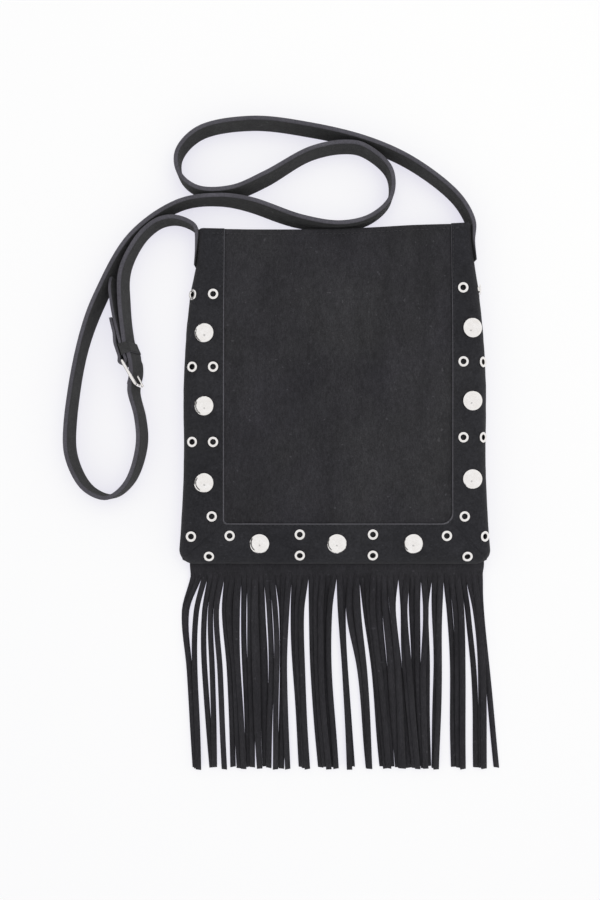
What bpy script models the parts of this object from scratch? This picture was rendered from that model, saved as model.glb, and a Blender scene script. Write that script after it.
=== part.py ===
"""A soft suede shoulder bag with a long fringe, lying on its back with its strap coiled on its edge.

Metres, +Z up. The origin is the centre of the back panel on the floor, +Y points to the mouth.
"""

import math
import random

import bmesh
import bpy
from mathutils import Matrix, Vector

# Bag body
BAG_HEIGHT = 0.279
MIDDLE_WIDTH = 0.2508
BOTTOM_FLARE = 0.0077
SHOULDER_TAPER = 0.0103
MOUTH_TAPER = 0.0252
BAG_DEPTH = 0.0235
FRONT_CROWN = 0.0025
MOUTH_SAG = 0.006
SAG_LENGTH = 0.075
MOUTH_TILT = 0.018
CORNER_RADIUS = 0.012
EDGE_RADIUS = 0.011
MOUTH_EDGE_RADIUS = 0.005
MOUTH_EDGE_LENGTH = 0.050
BACK_RADIUS = 0.006
SIDE_SEAM_HEIGHT = 0.0066
LEATHER = 0.0014
SEAM_GAP = 0.0003
MITRE_GAP = 0.0004

# Centre panel under the mitred border
BORDER_SIDE = 0.0322
BORDER_BOTTOM = 0.0345
PANEL_SHIFT = 0.0010
PANEL_LEFT_CORNER = 0.003
PANEL_RIGHT_CORNER = 0.009
PANEL_OVERLAP = 0.004

# Lining pocket
LINING = 0.0008
LINING_CLEARANCE = 0.0022
LINING_RECESS = 0.0015

# Metal on the border
EYELET_FLANGE = 0.0088
EYELET_HOLE = 0.0044
EYELET_WALL = 0.0004
EYELET_RISE = 0.0008
EYELET_INSET = 0.0090
EYELET_PAIR = 0.0172
HOLE_CLEARANCE = 0.0002
STUD_WIDTH = 0.0158
STUD_RISE = 0.0034
STUD_POST = 0.0024
STUD_INSET = 0.0166
SEAT_GAP = 0.0002
POST_REACH = 0.0022

# Fringe
FRINGE_INSET = 0.00575
FRINGE_SHIFT = 0.0008
FRINGE_LENGTH = 0.1745
FRINGE_LEATHER = 0.0013
FRINGE_SEAM_GAP = 0.0004
SLIT_START = 0.0095
STRAND_WIDTH = 0.0046
STRAND_LEVEL = 0.0018
TIP_SCATTER = 0.0007

# Shoulder strap, standing on its edge
STRAP_WIDTH = 0.0200
STRAP_LEATHER = 0.0036
STRAP_FLOOR_GAP = 0.0004
STRAP_SEWN_LENGTH = 0.030
STRAP_WALL_GAP = 0.0004

# Buckle with its leather tab and keeper
WIRE = 0.0026
FRAME_LENGTH = 0.0234
FRAME_ROOM = 0.0020
FRAME_CORNER = 0.0032
PRONG_WIRE = 0.0020
BAR_CLEARANCE = 0.0003
PRONG_OVERHANG = 0.0014
PRONG_HOLE_CLEARANCE = 0.0008
TAB_LEATHER = 0.0024
TAB_POINT = 0.013
LAYER_GAP = 0.0004
KEEPER_LEATHER = 0.0010
KEEPER_LENGTH = 0.0090
KEEPER_CLEARANCE = 0.0005
BUCKLE_LIFT_LENGTH = 0.062

SIDE_STEPS = 11
CORNER_STEPS = 4
BOTTOM_STEPS = 8
ROUND_STEPS = 4
EYELET_SIDES = 10
STUD_SIDES = 14


def clear_scene():
    for obj in list(bpy.data.objects):
        bpy.data.objects.remove(obj)


def material(name, colour, roughness, metallic=0.0):
    made = bpy.data.materials.new(name)
    made.use_nodes = True
    shader = made.node_tree.nodes["Principled BSDF"]
    shader.inputs["Base Color"].default_value = (*colour, 1.0)
    shader.inputs["Roughness"].default_value = roughness
    shader.inputs["Metallic"].default_value = metallic
    return made


def add_object(name, mesh, slot):
    mesh.materials.append(slot)
    obj = bpy.data.objects.new(name, mesh)
    bpy.context.scene.collection.objects.link(obj)
    return obj


def mesh_of(name, points, faces, smooth_angle=None):
    """Mesh of these points and faces, with every face turned outwards."""
    bm = bmesh.new()
    placed = [bm.verts.new(p) for p in points]
    for face in faces:
        bm.faces.new([placed[k] for k in face])
    bmesh.ops.recalc_face_normals(bm, faces=bm.faces)
    mesh = bpy.data.meshes.new(name)
    bm.to_mesh(mesh)
    bm.free()
    if smooth_angle is not None:
        mesh.shade_smooth()
        mesh.set_sharp_from_angle(angle=math.radians(smooth_angle))
    return mesh


def mix(a, b, share):
    return a + (b - a) * share


def ease(share):
    share = min(max(share, 0.0), 1.0)
    return share * share * (3 - 2 * share)


def through(points, at):
    """Value at a place on the smooth curve through these (place, value) points."""
    if at <= points[0][0]:
        return points[0][1]
    if at >= points[-1][0]:
        return points[-1][1]
    last = len(points) - 1
    k = max(i for i in range(last) if points[i][0] <= at)

    def slope(i):
        low, high = points[max(i - 1, 0)], points[min(i + 1, last)]
        return (high[1] - low[1]) / (high[0] - low[0])

    (x0, y0), (x1, y1) = points[k], points[k + 1]
    span = x1 - x0
    t = (at - x0) / span
    start = (1 + 2 * t) * (1 - t) ** 2 * y0 + t * (1 - t) ** 2 * span * slope(k)
    end = t * t * (3 - 2 * t) * y1 + t * t * (t - 1) * span * slope(k + 1)
    return start + end


def spline(points, steps):
    """Points along the Catmull-Rom curve through these points."""
    first = points[0] * 2 - points[1]
    after = points[-1] * 2 - points[-2]
    full = [first, *points, after]
    line = []
    for i in range(1, len(full) - 2):
        a, b, c, d = full[i - 1 : i + 3]
        for s in range(steps):
            t = s / steps
            bend = (a * 2 - b * 5 + c * 4 - d) * t * t
            turn = (b * 3 - a - c * 3 + d) * t**3
            line.append((b * 2 + (c - a) * t + bend + turn) / 2)
    line.append(points[-1].copy())
    return line


# Shape of the bag in plan and in depth

HALF_HEIGHT = BAG_HEIGHT / 2
BAG_CENTRE = -0.0014
BOTTOM_WIDTH = MIDDLE_WIDTH + BOTTOM_FLARE
SHOULDER_WIDTH = MIDDLE_WIDTH - SHOULDER_TAPER
MOUTH_WIDTH = MIDDLE_WIDTH - MOUTH_TAPER
FRINGE_WIDTH = BOTTOM_WIDTH - 2 * FRINGE_INSET
HALF_WIDTHS = (
    (-HALF_HEIGHT + CORNER_RADIUS, BOTTOM_WIDTH / 2),
    (-0.38 * BAG_HEIGHT, MIDDLE_WIDTH / 2 + 0.0022),
    (-0.20 * BAG_HEIGHT, MIDDLE_WIDTH / 2),
    (0.05 * BAG_HEIGHT, MIDDLE_WIDTH / 2),
    (0.29 * BAG_HEIGHT, SHOULDER_WIDTH / 2),
    (0.40 * BAG_HEIGHT, MOUTH_WIDTH / 2),
    (0.55 * BAG_HEIGHT, MOUTH_WIDTH / 2),
)


def half_width(y):
    return through(HALF_WIDTHS, y)


def mouth_y(x):
    across = min(abs(2 * x / MOUTH_WIDTH), 1.0)
    return HALF_HEIGHT + MOUTH_TILT * x - 0.0008 * (1 - across**2)


def front_z(x, y):
    """Height of the outer front surface, with its crown and the sag of the slack mouth."""
    across = min(abs(2 * (x - BAG_CENTRE) / MIDDLE_WIDTH), 1.0)
    along = min(abs(y / HALF_HEIGHT), 1.0)
    crown = FRONT_CROWN * (1 - across**2) * (1 - along**2)
    mouth = ease((y - HALF_HEIGHT + SAG_LENGTH) / SAG_LENGTH)
    sag = MOUTH_SAG * mouth * (1 - across**2)
    swell = 0.0005 * math.sin(31 * x + 17 * y + 0.6) * math.sin(24 * y - 13 * x) * (1 - across**4)
    return BAG_DEPTH + crown - sag - 0.0012 * mouth + swell


def edge_radius(y):
    """Radius of the roll at the sides, which is tighter where the strap is sewn on."""
    share = ease((y - HALF_HEIGHT + MOUTH_EDGE_LENGTH) / MOUTH_EDGE_LENGTH)
    return mix(EDGE_RADIUS, MOUTH_EDGE_RADIUS, share)


def arc(centre, radius, start):
    turn = math.pi / 2 / CORNER_STEPS
    angles = [math.pi * start / 180 + k * turn for k in range(CORNER_STEPS + 1)]
    return [centre + Vector((math.cos(a), math.sin(a))) * radius for a in angles]


def plan_line(half, centre, bottom, left_radius, right_radius):
    """Plan points down the left side, round the bottom and up the right side."""
    low_left, low_right = bottom + left_radius, bottom + right_radius
    left = centre - half(low_left)
    right = centre + half(low_right)
    line = []
    for k in range(SIDE_STEPS):
        y = mix(mouth_y(-half(HALF_HEIGHT)), low_left, k / SIDE_STEPS)
        line.append(Vector((centre - half(y), y)))
    line += arc(Vector((left + left_radius, low_left)), left_radius, 180)
    for k in range(1, BOTTOM_STEPS):
        x = mix(left + left_radius, right - right_radius, k / BOTTOM_STEPS)
        line.append(Vector((x, bottom)))
    line += arc(Vector((right - right_radius, low_right)), right_radius, 270)
    for k in range(1, SIDE_STEPS + 1):
        y = mix(low_right, mouth_y(half(HALF_HEIGHT)), k / SIDE_STEPS)
        line.append(Vector((centre + half(y), y)))
    return line


LEFT_MITRE = SIDE_STEPS + CORNER_STEPS // 2
RIGHT_MITRE = SIDE_STEPS + CORNER_STEPS + BOTTOM_STEPS + CORNER_STEPS // 2
SEAM_Y = -HALF_HEIGHT + BORDER_BOTTOM
PANEL_WIDTH = MIDDLE_WIDTH - 2 * BORDER_SIDE
SEAM_LEFT = PANEL_SHIFT - PANEL_WIDTH / 2
SEAM_RIGHT = PANEL_SHIFT + PANEL_WIDTH / 2


def outline():
    return plan_line(half_width, BAG_CENTRE, -HALF_HEIGHT, CORNER_RADIUS, CORNER_RADIUS)


def panel_line(grow):
    """The line of the panel seam, or that line moved outwards."""
    return plan_line(
        lambda y: PANEL_WIDTH / 2 + grow,
        PANEL_SHIFT,
        SEAM_Y - grow,
        PANEL_LEFT_CORNER + grow,
        PANEL_RIGHT_CORNER + grow,
    )


# Border strips, which roll over the rounded side of the bag


def section_point(seam, edge, reach):
    """Point of the border at this distance over the leather from its cut edge."""
    out = edge - seam
    radius = edge_radius(edge.y)
    flat = out.length - radius
    out.normalize()
    if reach <= flat:
        plan = seam + out * reach
        return Vector((plan.x, plan.y, front_z(plan.x, plan.y)))
    rim = seam + out * flat
    turned = min((reach - flat) / radius, math.pi / 2)
    plan = rim + out * radius * math.sin(turned)
    drop = radius * (1 - math.cos(turned))
    return Vector((plan.x, plan.y, front_z(rim.x, rim.y) - drop))


def inward_normals(line):
    """Unit vectors in plan that point from each outline point into the bag."""
    normals = []
    for k in range(len(line)):
        before, after = line[max(k - 1, 0)], line[min(k + 1, len(line) - 1)]
        along = (after - before).normalized()
        normals.append(Vector((-along.y, along.x)))
    return normals


def border_section(seam, edge, inward, low):
    """One row of border points, from the cut edge to the seam down the side."""
    radius = edge_radius(edge.y)
    rim = edge + inward * radius
    row = []
    for k in range(3):
        plan = seam + (rim - seam) * k / 2
        row.append(Vector((plan.x, plan.y, front_z(plan.x, plan.y))))
    top = row[-1].z
    for k in range(1, ROUND_STEPS + 1):
        turned = math.pi / 2 * k / ROUND_STEPS
        plan = rim - inward * radius * math.sin(turned)
        row.append(Vector((plan.x, plan.y, top - radius * (1 - math.cos(turned)))))
    row.append(Vector((edge.x, edge.y, low)))
    return row


def grid_normals(rows):
    """Outward normals of a grid, by the differences across each point."""
    normals = []
    for i, row in enumerate(rows):
        before, after = rows[max(i - 1, 0)], rows[min(i + 1, len(rows) - 1)]
        line = []
        for j in range(len(row)):
            along = after[j] - before[j]
            across = row[min(j + 1, len(row) - 1)] - row[max(j - 1, 0)]
            line.append(across.cross(along).normalized())
        normals.append(line)
    return normals


def slab(name, rows, normals, thickness, slot, smooth_angle=40):
    """Closed sheet: a grid of outer points and the same grid moved inwards."""
    count, width = len(rows), len(rows[0])
    outer = [point for row in rows for point in row]
    depth = [normal * thickness for line in normals for normal in line]
    points = outer + [point - inward for point, inward in zip(outer, depth)]
    shift = count * width

    def at(i, j, layer):
        return layer * shift + i * width + j

    faces = []
    for i in range(count - 1):
        for j in range(width - 1):
            for layer in (0, 1):
                corners = ((i, j), (i + 1, j), (i + 1, j + 1), (i, j + 1))
                faces.append([at(*corner, layer) for corner in corners])
    rim = [(0, j) for j in range(width)]
    rim += [(i, width - 1) for i in range(1, count)]
    rim += [(count - 1, j) for j in range(width - 2, -1, -1)]
    rim += [(i, 0) for i in range(count - 2, 0, -1)]
    for a, b in zip(rim, rim[1:] + rim[:1]):
        faces.append([at(*a, 0), at(*b, 0), at(*b, 1), at(*a, 1)])
    return add_object(name, mesh_of(name, points, faces, smooth_angle), slot)


def border_pieces(slots):
    """Left, bottom and right strips, which meet in mitres at the two lower corners."""
    bottom_low = SIDE_SEAM_HEIGHT + SEAM_GAP + FRINGE_LEATHER + 2 * FRINGE_SEAM_GAP
    side_low = SIDE_SEAM_HEIGHT + SEAM_GAP
    edges = outline()
    rows = []
    lines = zip(panel_line(0.0), edges, inward_normals(edges))
    for k, (seam, edge, inward) in enumerate(lines):
        low = bottom_low if LEFT_MITRE <= k <= RIGHT_MITRE else side_low
        rows.append(border_section(seam, edge, inward, low))
    normals = grid_normals(rows)
    spans = {
        "border_left": (0, LEFT_MITRE),
        "border_bottom": (LEFT_MITRE, RIGHT_MITRE),
        "border_right": (RIGHT_MITRE, len(rows) - 1),
    }
    made = {}
    for name, (first, last) in spans.items():
        piece = [[point.copy() for point in row] for row in rows[first : last + 1]]
        for row, beside in ((piece[0], piece[1]), (piece[-1], piece[-2])):
            for j, point in enumerate(row):
                row[j] = point + (beside[j] - point).normalized() * MITRE_GAP
        made[name] = slab(name, piece, normals[first : last + 1], LEATHER, slots)
    return made


def make_front_panel(slot):
    """Centre panel, whose edges run a little way under the border."""
    grow = PANEL_OVERLAP
    left, right = SEAM_LEFT - grow, SEAM_RIGHT + grow
    low = SEAM_Y - grow
    corners = (PANEL_LEFT_CORNER + grow, PANEL_RIGHT_CORNER + grow)

    def floor_y(x):
        for edge, radius in ((x - left, corners[0]), (right - x, corners[1])):
            if edge < radius:
                return low + radius - math.sqrt(max(radius**2 - (radius - edge) ** 2, 0.0))
        return low

    bend = [1 - math.cos(math.pi / 2 * k / 3) for k in range(3)]
    xs = [left + corners[0] * share for share in bend]
    xs += [mix(left + corners[0], right - corners[1], k / 7) for k in range(8)]
    xs += [right - corners[1] * share for share in reversed(bend)]
    rows = []
    for x in xs:
        ys = [mix(floor_y(x), mouth_y(x), k / 10) for k in range(11)]
        rows.append([Vector((x, y, front_z(x, y) - LEATHER - SEAM_GAP)) for y in ys])
    normals = [[-normal for normal in line] for line in grid_normals(rows)]
    return slab("front_panel", rows, normals, LEATHER, slot)


def make_back_panel(slot):
    """Back panel: flat on the floor, with a rim that turns up to the side seam."""
    edge = outline()
    steps = 3
    rows = []
    for point, inward in zip(edge, inward_normals(edge)):
        row = []
        for k in range(steps + 1):
            turned = math.pi / 2 * k / steps
            plan = point + inward * BACK_RADIUS * (1 - math.sin(turned))
            row.append((plan.x, plan.y, BACK_RADIUS * (1 - math.cos(turned))))
        row.append((point.x, point.y, SIDE_SEAM_HEIGHT))
        rows.append(row)
    width = steps + 2
    points = [point for row in rows for point in row]
    faces = [[k * width for k in range(len(rows))]]
    for i in range(len(rows) - 1):
        for j in range(width - 1):
            corner = i * width + j
            faces.append([corner, corner + width, corner + width + 1, corner + 1])
    mesh = mesh_of("back_panel", points, faces)
    if mesh.polygons[0].normal.z > 0:
        mesh.flip_normals()
    obj = add_object("back_panel", mesh, slot)
    solidify = obj.modifiers.new("leather", "SOLIDIFY")
    solidify.thickness = LEATHER
    solidify.offset = -1
    solidify.use_even_offset = True
    return obj


def lining_ring(y, inset):
    """Closed ring of lining points across the bag at this height."""
    edge = edge_radius(y) - 0.002
    side = half_width(y) - LEATHER - LINING_CLEARANCE - inset
    low = LEATHER + 2 * SEAM_GAP + inset
    to_bottom = y + HALF_HEIGHT - LEATHER - LINING_CLEARANCE
    closing = 0.0
    if to_bottom < edge:
        closing = edge - math.sqrt(max(edge**2 - (edge - to_bottom) ** 2, 0.0))
        side -= closing * 0.5
    ring = []
    for k in range(5):
        ring.append(Vector((BAG_CENTRE + mix(-side + 0.004, side - 0.004, k / 4), y, low)))
    right = BAG_CENTRE + side
    ring.append(Vector((right - 0.0012, y, low + 0.0016)))
    tops = [mix(side - edge, -side + edge, k / 6) for k in range(7)]
    deep = 2 * LEATHER + 3 * SEAM_GAP + LINING_CLEARANCE / 2 + inset + closing * 0.5

    def top(x):
        return front_z(BAG_CENTRE + x, y) - deep

    rounds = [math.pi / 2 * k / 3 for k in range(3)]
    for turned in rounds:
        x = right - edge * (1 - math.cos(turned))
        ring.append(Vector((x, y, top(side - edge) - edge * (1 - math.sin(turned)))))
    for x in tops:
        ring.append(Vector((BAG_CENTRE + x, y, top(x))))
    left = BAG_CENTRE - side
    for turned in reversed(rounds):
        x = left + edge * (1 - math.cos(turned))
        ring.append(Vector((x, y, top(edge - side) - edge * (1 - math.sin(turned)))))
    ring.append(Vector((left + 0.0012, y, low + 0.0016)))
    return ring


def make_lining(slot):
    """Lining pocket: a thin sock inside the bag, open at the mouth."""
    depth = LEATHER + LINING_CLEARANCE
    closed_y = -HALF_HEIGHT + depth + 0.0015
    ys = [mix(HALF_HEIGHT - LINING_RECESS, closed_y + 0.012, k / 8) for k in range(9)]
    ys += [closed_y + 0.007, closed_y + 0.003, closed_y]
    rings = [lining_ring(y, 0.0) for y in ys]
    inside = [lining_ring(y, LINING) for y in ys[:-1]]
    inside.append([Vector((p.x, closed_y + LINING, p.z)) for p in lining_ring(closed_y, LINING)])
    for ring in (rings[0], inside[0]):
        for k, point in enumerate(ring):
            ring[k] = Vector((point.x, mouth_y(point.x) - LINING_RECESS, point.z))
    size = len(rings[0])
    points = [p for ring in rings for p in ring] + [p for ring in inside for p in ring]
    shift = len(rings) * size
    faces = []
    for layer in (0, shift):
        for i in range(len(rings) - 1):
            for k in range(size):
                a, b = layer + i * size + k, layer + i * size + (k + 1) % size
                faces.append([a, b, b + size, a + size])
        last = layer + (len(rings) - 1) * size
        faces.append([last + k for k in range(size)])
    for k in range(size):
        faces.append([k, (k + 1) % size, shift + (k + 1) % size, shift + k])
    return add_object("lining", mesh_of("lining", points, faces, 40), slot)


# Eyelets and studs

LEFT_ROWS = (0.0825, 0.0230, -0.0384)
RIGHT_ROWS = (0.0879, 0.0273, -0.0346)
LEFT_STUDS = (0.0510, -0.0088, -0.0718)
RIGHT_STUDS = (0.0549, -0.0047, -0.0687)
BOTTOM_PAIRS = (-0.0304, 0.0293)
BOTTOM_STUDS = (-0.0633, 0.0, 0.0626)
CORNER_TURN = 0.0085


def side_ends(side, along):
    """Seam and outline points across the border at this place along it."""
    if side == "bottom":
        return Vector((along, SEAM_Y)), Vector((along, -HALF_HEIGHT))
    if side == "left":
        return Vector((SEAM_LEFT, along)), Vector((BAG_CENTRE - half_width(along), along))
    return Vector((SEAM_RIGHT, along)), Vector((BAG_CENTRE + half_width(along), along))


def seat_on(side, along, inset, radius):
    """Frame of a round piece that rests on the border: its Z axis points outwards."""
    seam, edge = side_ends(side, along)
    low = section_point(seam, edge, inset - radius * 0.7)
    high = section_point(seam, edge, inset + radius * 0.7)
    run = Vector((1, 0, 0)) if side == "bottom" else Vector((0, 1, 0))
    normal = (high - low).cross(run).normalized()
    if normal.z < 0:
        normal.negate()
    middle = (low + high) / 2
    samples = [section_point(seam, edge, inset + radius * k / 4) for k in range(-4, 5)]
    for step in (-radius, radius):
        samples.append(section_point(*side_ends(side, along + step), inset))
    lift = max((point - middle).dot(normal) for point in samples)
    origin = middle + normal * (lift + SEAT_GAP)
    turn = Matrix((run.cross(normal), run, normal)).transposed()
    if turn.determinant() < 0:
        turn = Matrix((normal.cross(run), run, normal)).transposed()
    return Matrix.Translation(origin) @ turn.to_4x4()


def lathe(name, profile, sides, slot, place):
    """Round piece: a closed profile of (radius, height) points turned about its own Z axis."""
    bm = bmesh.new()
    ring = [bm.verts.new((radius, 0.0, height)) for radius, height in profile]
    edges = [bm.edges.new((ring[k], ring[k + 1])) for k in range(len(ring) - 1)]
    if profile[0][0] > 0:
        edges.append(bm.edges.new((ring[-1], ring[0])))
    bmesh.ops.spin(
        bm,
        geom=ring + edges,
        axis=(0, 0, 1),
        cent=(0, 0, 0),
        angle=2 * math.pi,
        steps=sides,
        use_merge=True,
    )
    bmesh.ops.remove_doubles(bm, verts=bm.verts, dist=1e-6)
    bmesh.ops.recalc_face_normals(bm, faces=bm.faces)
    mesh = bpy.data.meshes.new(name)
    bm.to_mesh(mesh)
    bm.free()
    mesh.shade_smooth()
    mesh.set_sharp_from_angle(angle=math.radians(35))
    obj = add_object(name, mesh, slot)
    obj.matrix_world = place
    return obj


def make_eyelet(name, place, slot):
    hole = EYELET_HOLE / 2
    tube = hole + EYELET_WALL
    flange = EYELET_FLANGE / 2
    profile = (
        (hole, -SEAT_GAP - POST_REACH),
        (hole, EYELET_RISE * 0.6),
        (mix(hole, flange, 0.4), EYELET_RISE),
        (flange, EYELET_RISE * 0.2),
        (flange - 0.0001, 0.0),
        (tube, 0.0),
        (tube, -SEAT_GAP - POST_REACH),
    )
    return lathe(name, profile, EYELET_SIDES, slot, place)


def make_stud(name, place, slot):
    radius = STUD_WIDTH / 2
    post = STUD_POST / 2
    foot = -SEAT_GAP - POST_REACH
    profile = [(0.0, foot), (post, foot), (post, 0.0), (radius - 0.0004, 0.0)]
    for k in range(4):
        turned = math.pi / 2 * k / 4
        profile.append((radius * math.cos(turned), 0.0004 + STUD_RISE * math.sin(turned)))
    profile.append((0.0, 0.0004 + STUD_RISE))
    return lathe(name, profile, STUD_SIDES, slot, place)


def cut_holes(obj, places, radius):
    """Round holes through a strip of leather, one at each place."""
    bm = bmesh.new()
    for place in places:
        bmesh.ops.create_cone(
            bm,
            cap_ends=True,
            segments=10,
            radius1=radius,
            radius2=radius,
            depth=0.008,
            matrix=place,
        )
    bmesh.ops.recalc_face_normals(bm, faces=bm.faces)
    mesh = bpy.data.meshes.new(obj.name + "_holes")
    bm.to_mesh(mesh)
    bm.free()
    cutter = bpy.data.objects.new(obj.name + "_holes", mesh)
    bpy.context.scene.collection.objects.link(cutter)
    cutter.hide_render = True
    cutter.display_type = "WIRE"
    cut = obj.modifiers.new("holes", "BOOLEAN")
    cut.object = cutter
    cut.solver = "EXACT"
    cut.operation = "DIFFERENCE"
    return cutter


def eyelet_spots():
    far = EYELET_INSET + EYELET_PAIR
    middle = EYELET_INSET + EYELET_PAIR / 2
    spots = []
    for side, rows in (("left", LEFT_ROWS), ("right", RIGHT_ROWS), ("bottom", BOTTOM_PAIRS)):
        for along in rows:
            spots.append((side, along, EYELET_INSET))
            spots.append((side, along, far))
    low = SEAM_Y + 0.5 * CORNER_TURN
    for side, x in (("left", SEAM_LEFT), ("right", SEAM_RIGHT)):
        inward = 1 if side == "left" else -1
        spots.append((side, low + 0.0015, middle - CORNER_TURN + 0.001))
        spots.append((side, low - 0.0150, middle + CORNER_TURN + 0.001))
        spots.append(("bottom", x + inward * 0.0045, middle - CORNER_TURN + 0.001))
        spots.append(("bottom", x - inward * 0.0125, middle + CORNER_TURN + 0.001))
    return spots


def stud_spots():
    spots = []
    for side, rows in (("left", LEFT_STUDS), ("bottom", BOTTOM_STUDS), ("right", RIGHT_STUDS)):
        spots += [(side, along, STUD_INSET) for along in rows]
    return spots


def place_metal(borders, slot):
    eyelets, studs = {}, {}
    for k, (side, along, inset) in enumerate(eyelet_spots()):
        place = seat_on(side, along, inset, EYELET_FLANGE / 2)
        make_eyelet(f"eyelet_{side}_{k + 1:02d}", place, slot)
        eyelets.setdefault(side, []).append(place)
    for k, (side, along, inset) in enumerate(stud_spots()):
        place = seat_on(side, along, inset, STUD_WIDTH / 2)
        make_stud(f"stud_{side}_{k + 1}", place, slot)
        studs.setdefault(side, []).append(place)
    for side in ("left", "bottom", "right"):
        strip = borders["border_" + side]
        cut_holes(strip, eyelets[side], EYELET_HOLE / 2 + EYELET_WALL + HOLE_CLEARANCE)
        posts = cut_holes(strip, studs[side], STUD_POST / 2 + HOLE_CLEARANCE)
        posts.name = strip.name + "_post_holes"


# Fringe: one strip of suede with long slits, whose strands fall in bunches

# Each bunch: its number of strands, and its two edges in percent of the fringe's width from
# its middle, a fifth of the way down, half way down and at the tips.
BUNCHES = (
    (3, (-52.6, -46.3), (-51.0, -46.7), (-48.9, -45.7)),
    (2, (-45.7, -41.7), (-45.7, -40.9), (-43.1, -40.0)),
    (1, (-41.7, -39.6), (-40.4, -38.4), (-38.6, -36.6)),
    (3, (-39.0, -33.0), (-36.8, -32.1), (-35.8, -30.9)),
    (2, (-32.1, -28.1), (-31.7, -27.7), (-30.9, -27.3)),
    (2, (-28.1, -24.0), (-27.5, -23.2), (-26.7, -23.0)),
    (5, (-23.0, -15.7), (-22.8, -16.4), (-22.8, -15.1)),
    (3, (-15.1, -10.5), (-14.5, -10.3), (-12.3, -8.5)),
    (5, (-8.9, -1.0), (-8.5, -1.0), (-5.8, 1.3)),
    (2, (0.9, 3.7), (2.5, 4.3), (3.9, 6.9)),
    (2, (4.3, 8.5), (7.3, 11.0), (10.6, 12.8)),
    (3, (9.6, 13.4), (12.4, 16.2), (15.2, 19.3)),
    (2, (14.0, 18.3), (15.8, 19.9), (18.5, 22.5)),
    (2, (18.7, 21.1), (20.7, 23.1), (21.9, 26.0)),
    (2, (22.5, 24.7), (23.1, 26.0), (26.6, 29.2)),
    (2, (25.5, 29.2), (26.4, 29.0), (28.0, 31.2)),
    (2, (29.6, 32.2), (29.2, 32.2), (30.0, 33.0)),
    (2, (33.0, 36.5), (33.4, 36.3), (33.0, 35.7)),
    (3, (38.1, 44.0), (39.1, 44.2), (39.7, 44.4)),
    (1, (44.4, 46.4), (46.4, 48.2), (47.4, 49.2)),
    (2, (46.6, 49.8), (49.0, 51.3), (48.8, 51.5)),
    (1, (49.6, 51.5), (51.3, 52.9), (54.7, 56.5)),
)
BUNCH_SHARES = (0.20, 0.50, 1.0)


def strand_paths(pitch, middle):
    """For each strand, the (share of its length, x) points that its middle passes."""
    paths = []
    start_x = middle - FRINGE_WIDTH / 2
    for count, *levels in BUNCHES:
        for k in range(count):
            path = [(0.0, start_x + pitch * (len(paths) + 0.5))]
            for share, (left, right) in zip(BUNCH_SHARES, levels):
                low = middle + FRINGE_WIDTH * left / 100 + STRAND_WIDTH / 2
                high = middle + FRINGE_WIDTH * right / 100 - STRAND_WIDTH / 2
                path.append((share, mix(low, high, k / (count - 1) if count > 1 else 0.5)))
            paths.append(path)
    return paths


def make_fringe(slot):
    count = sum(bunch[0] for bunch in BUNCHES)
    rng = random.Random(7)
    edge_y = -HALF_HEIGHT
    seam_z = SIDE_SEAM_HEIGHT + FRINGE_SEAM_GAP + FRINGE_LEATHER / 2
    middle = BAG_CENTRE + FRINGE_SHIFT
    start_x = middle - FRINGE_WIDTH / 2
    pitch = FRINGE_WIDTH / count
    floor_z = FRINGE_LEATHER / 2 + 0.0003
    slit_y, slit_z = edge_y - SLIT_START, mix(seam_z, floor_z, 0.60)
    header = ((edge_y + 0.0022, seam_z), (edge_y - 0.0042, seam_z - 0.0009), (slit_y, slit_z))
    bm = bmesh.new()
    rows = []
    for y, z in header:
        rows.append([bm.verts.new((start_x + pitch * k, y, z)) for k in range(count + 1)])
    for upper, lower in zip(rows, rows[1:]):
        for k in range(count):
            bm.faces.new((upper[k], upper[k + 1], lower[k + 1], lower[k]))
    for k, path in enumerate(strand_paths(pitch, middle)):
        tip_y = edge_y - FRINGE_LENGTH + rng.uniform(-TIP_SCATTER, TIP_SCATTER)
        level = floor_z + STRAND_LEVEL * (k % 3)
        last = (rows[-1][k], rows[-1][k + 1])
        for share in (0.05, 0.16, 0.34, 0.62, 1.0):
            x = through(path, share)
            y = mix(slit_y, tip_y, share)
            z = mix(slit_z, level, ease(share / 0.10))
            half = mix(pitch * 0.97, STRAND_WIDTH, ease(share / 0.06)) / 2
            slant = 0.0004 * math.sin(k * 2.3) if share == 1.0 else 0.0
            pair = (bm.verts.new((x - half, y - slant, z)), bm.verts.new((x + half, y + slant, z)))
            bm.faces.new((last[0], last[1], pair[1], pair[0]))
            last = pair
    mesh = bpy.data.meshes.new("fringe")
    bm.to_mesh(mesh)
    bm.free()
    obj = add_object("fringe", mesh, slot)
    solidify = obj.modifiers.new("suede", "SOLIDIFY")
    solidify.thickness = FRINGE_LEATHER
    solidify.offset = 0
    return obj


# Strap, tab and keeper, standing on edge

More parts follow.
